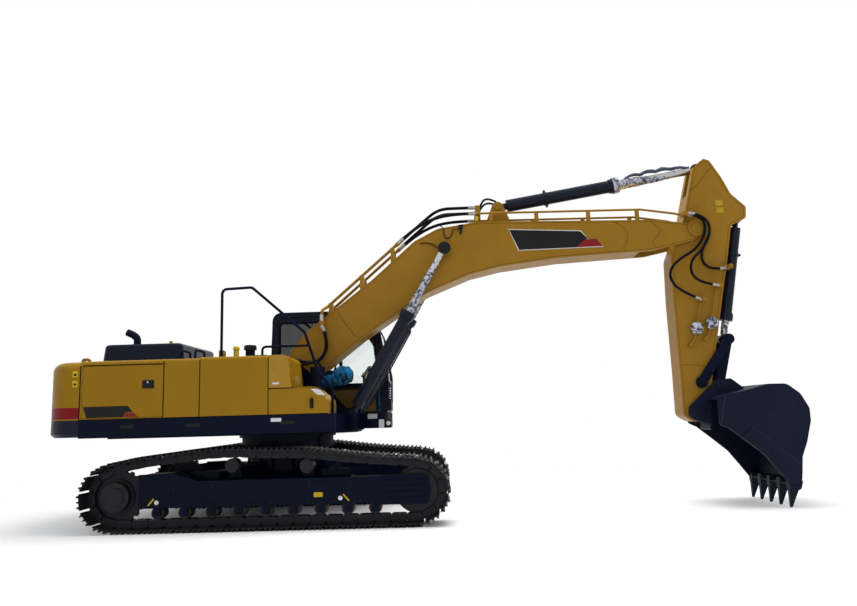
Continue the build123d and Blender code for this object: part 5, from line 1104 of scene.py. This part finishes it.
# Painted shade: the arm's seams use the same darker ochre.
build("arm_seams", "arm", seam_shade,
      [part for hand in (-1, 1) for part in seam_lines(arm_seams, hand * 0.1955)
       + [band(arm_rows, 0.030, 0.005, hand * 0.1940, hand * 0.1968)]], smooth=60)
build("arm_labels", "arm",
      finish("label yellow", (0.34, 0.23, 0.02), roughness=0.5, specular=0.1, dust=0.4, patches=0.8, grain=90.0),
      [bar_plate((x - 0.055, x + 0.055), (z - 0.043, z + 0.043), (hand * 0.1940, hand * 0.1970), 0.008)
       for x, z in ((6.737, 4.539), (6.742, 4.427)) for hand in (-1, 1)])
build("side_link_caps", "side_links", dark_enamel,
      pin_caps(6.234, 1.787, 0.2580, 0.064, 0.010) + pin_caps(6.688, 2.424, 0.2550, 0.060, 0.010))


def foil_ball(centre, radius, seed):
    """A ball of foil: a sphere on a grid of height and turn, creased by sharp waves, closed at both poles."""
    height = np.linspace(0.02, np.pi - 0.02, 20)[:, None]
    turn = np.linspace(0, 2 * np.pi, 28, endpoint=False)[None, :]
    size = radius * crumple(height * 0.3, turn, 8, 0.35, seed)
    ball = np.stack((size * np.sin(height) * np.cos(turn), size * np.cos(height) * 0.8,
                     size * np.sin(height) * np.sin(turn)), axis=-1)
    return skin(ball + np.array(centre))


rod_wrap("valve_foils", "arm", foil,
         [foil_ball((6.221, -0.245, 2.600), 0.112, 29), foil_ball((6.451, -0.245, 2.668), 0.112, 31)])

# ---------------------------------------------------------------- bucket
# Heavy plate: weld seams along each side cutter and up the ears, lighter than the plate as painted highlight,
# bolts through the cutters, wear strips on the heel, and a pinned adapter at the root of each tooth.
bucket_steel = finish("bucket enamel", (0.0045, 0.0070, 0.0200), roughness=0.5, specular=0.10, dust=0.14, patches=0.6,
                      grain=45.0, bump=0.25, depth=0.002, dust_and_sheen_colour=(0.035, 0.033, 0.032))
coat_nodes(bucket_steel, "bucket")
# Painted highlight: the seams' lighter colour stands for the light along the plate edges.
build("bucket_seams", "bucket",
      finish("plate edge, painted highlight", (0.022, 0.024, 0.032), roughness=0.5, metallic=0.3, specular=0.3, dust=0.3, patches=0.8,
             bump=0.4, dust_and_sheen_colour=(0.02, 0.02, 0.03)),
      [part for hand in (-1, 1)
       for part in seam_lines((((7.345, 0.600), (7.000, 0.905), (6.720, 1.125)),), hand * 0.7010, 0.005)
       + seam_lines((((6.300, 1.190), (6.335, 1.400), (6.390, 1.570)),), hand * 0.7005, 0.006)]
      + [skin(rings_along(between((x, -0.69, 0.322), (x, 0.69, 0.322), np.linspace(0, 1, 12)), 0.006, 6))
         for x in (7.179, 7.327)], smooth=60)
build("bucket_bolts", "bucket", bucket_steel,
      [bolt_heads([(x, hand * 0.7150, z) for x, z in ((7.20, 0.52), (7.10, 0.66), (6.98, 0.79), (6.83, 0.89))], 0.012,
                  (0, hand, 0), 0.020) for hand in (-1, 1)])
adapters = []
for y in np.linspace(-0.64, 0.64, 5):
    adapters += [skin([[(x + way_x * half_x, y + way_y * half_y, z)
                        for way_x, way_y in ((-1, -1), (1, -1), (1, 1), (-1, 1))] for x, z, half_x, half_y in
                       ((7.262, 0.395, 0.080, 0.052), (7.262, 0.350, 0.094, 0.060), (7.250, 0.262, 0.082, 0.055),
                        (7.243, 0.238, 0.066, 0.043))]),
                 turned(((-0.066, 0), (-0.066, 0.014), (0.066, 0.014), (0.066, 0)), (7.252, y, 0.300), (0, 1, 0), 12)]
build("tooth_adapters", "bucket", bucket_steel, adapters, bevel=0.005)
heel = eased(at_y(0.0, ((7.470, 0.915), (7.404, 0.740), (7.378, 0.560), (7.362, 0.400))), 2)
slope = np.gradient(heel, axis=0)
outward = np.column_stack((-slope[:, 2], 0 * slope[:, 0], slope[:, 0])) / np.linalg.norm(slope, axis=1)[:, None]
build("heel_strips", "bucket", bucket_steel,
      [skin(np.stack([heel + outward * rise + (0, y + across, 0) for rise, across in
                      ((-0.012, -0.04), (0.012, -0.036), (0.012, 0.036), (-0.012, 0.04))], axis=1))
       for y in (-0.60, -0.20, 0.20, 0.60)], smooth=40)


# ---------------------------------------------------------------- floor, sky and lamps
# A pale studio. The floor is white to the camera far out and keeps the shadow near the
# machine; the world is white to the camera and pale blue to the machine.
def seen_directly(tree):
    """1 for camera, glossy and transmission rays, and 0 for the light that falls on the machine."""
    rays = add_nodes(tree, "LightPath")[0].outputs
    return calc(tree, "MAXIMUM", calc(tree, "MAXIMUM", rays["Is Camera Ray"], rays["Is Glossy Ray"]),
                rays["Is Transmission Ray"])


world = bpy.data.worlds.new("studio")
world.use_nodes = True
scene.world = world
tree = world.node_tree
tree.nodes.clear()
dim, white, mix, out = add_nodes(tree, "Background", "Background", "MixShader", "OutputWorld")
wire(tree, dim, {"Color": (0.90, 0.95, 1.0, 1.0), "Strength": 0.41})
wire(tree, white, {"Color": (1.0, 1.0, 1.0, 1.0), "Strength": 1.0})
wire(tree, mix, {0: seen_directly(tree), 1: dim.outputs[0], 2: white.outputs[0]})
wire(tree, out, {"Surface": mix.outputs[0]})

floor_mesh = bpy.data.meshes.new("floor")
reach = 40.0
floor_mesh.from_pydata([(-reach, -reach, 0), (reach, -reach, 0), (reach, reach, 0), (-reach, reach, 0)], [],
                       [(0, 1, 2, 3)])
floor = bpy.data.objects.new("floor", floor_mesh)
scene.collection.objects.link(floor)
floor_paint, tree, matt = painted("floor")
wire(tree, matt, {"Base Color": (0.86, 0.86, 0.87, 1.0), "Roughness": 0.9})
place, length, fade, glow, mix = add_nodes(tree, "TexCoord", "VectorMath", "MapRange", "Emission", "MixShader")
length.operation = "LENGTH"
fade.interpolation_type = "SMOOTHSTEP"
wire(tree, length, {0: place.outputs["Object"]})
wire(tree, fade, {"From Min": 3.0, "From Max": 8.5, "Value": length.outputs["Value"]})
wire(tree, glow, {"Strength": 1.0})
wire(tree, mix, {0: calc(tree, "MULTIPLY", fade.outputs[0], seen_directly(tree)), 1: matt.outputs[0],
                 2: glow.outputs[0]})
wire(tree, tree.nodes["Material Output"], {"Surface": mix.outputs[0]})
floor_mesh.materials.append(floor_paint)


def lamp(name, place, aim, size, power, colour):
    """A square area lamp at place, turned towards aim."""
    data = bpy.data.lights.new(name, "AREA")
    data.size = size
    data.energy = power
    data.color = colour
    piece = bpy.data.objects.new(name, data)
    piece.location = place
    piece.visible_glossy = False
    piece.rotation_euler = (Vector(aim) - Vector(place)).to_track_quat("-Z", "Y").to_euler()
    scene.collection.objects.link(piece)


lamp("overhead", (1.0, 1.0, 14.0), (0.5, 0.0, 0.0), 10.0, 3000.0, (1.0, 0.98, 0.95))
lamp("key", (-4.0, -13.0, 9.0), (0.0, 0.0, 2.0), 8.0, 385.0, (1.0, 0.97, 0.93))
lamp("front", (12.0, -4.0, 8.0), (1.0, 0.0, 2.0), 7.0, 350.0, (0.95, 0.97, 1.0))
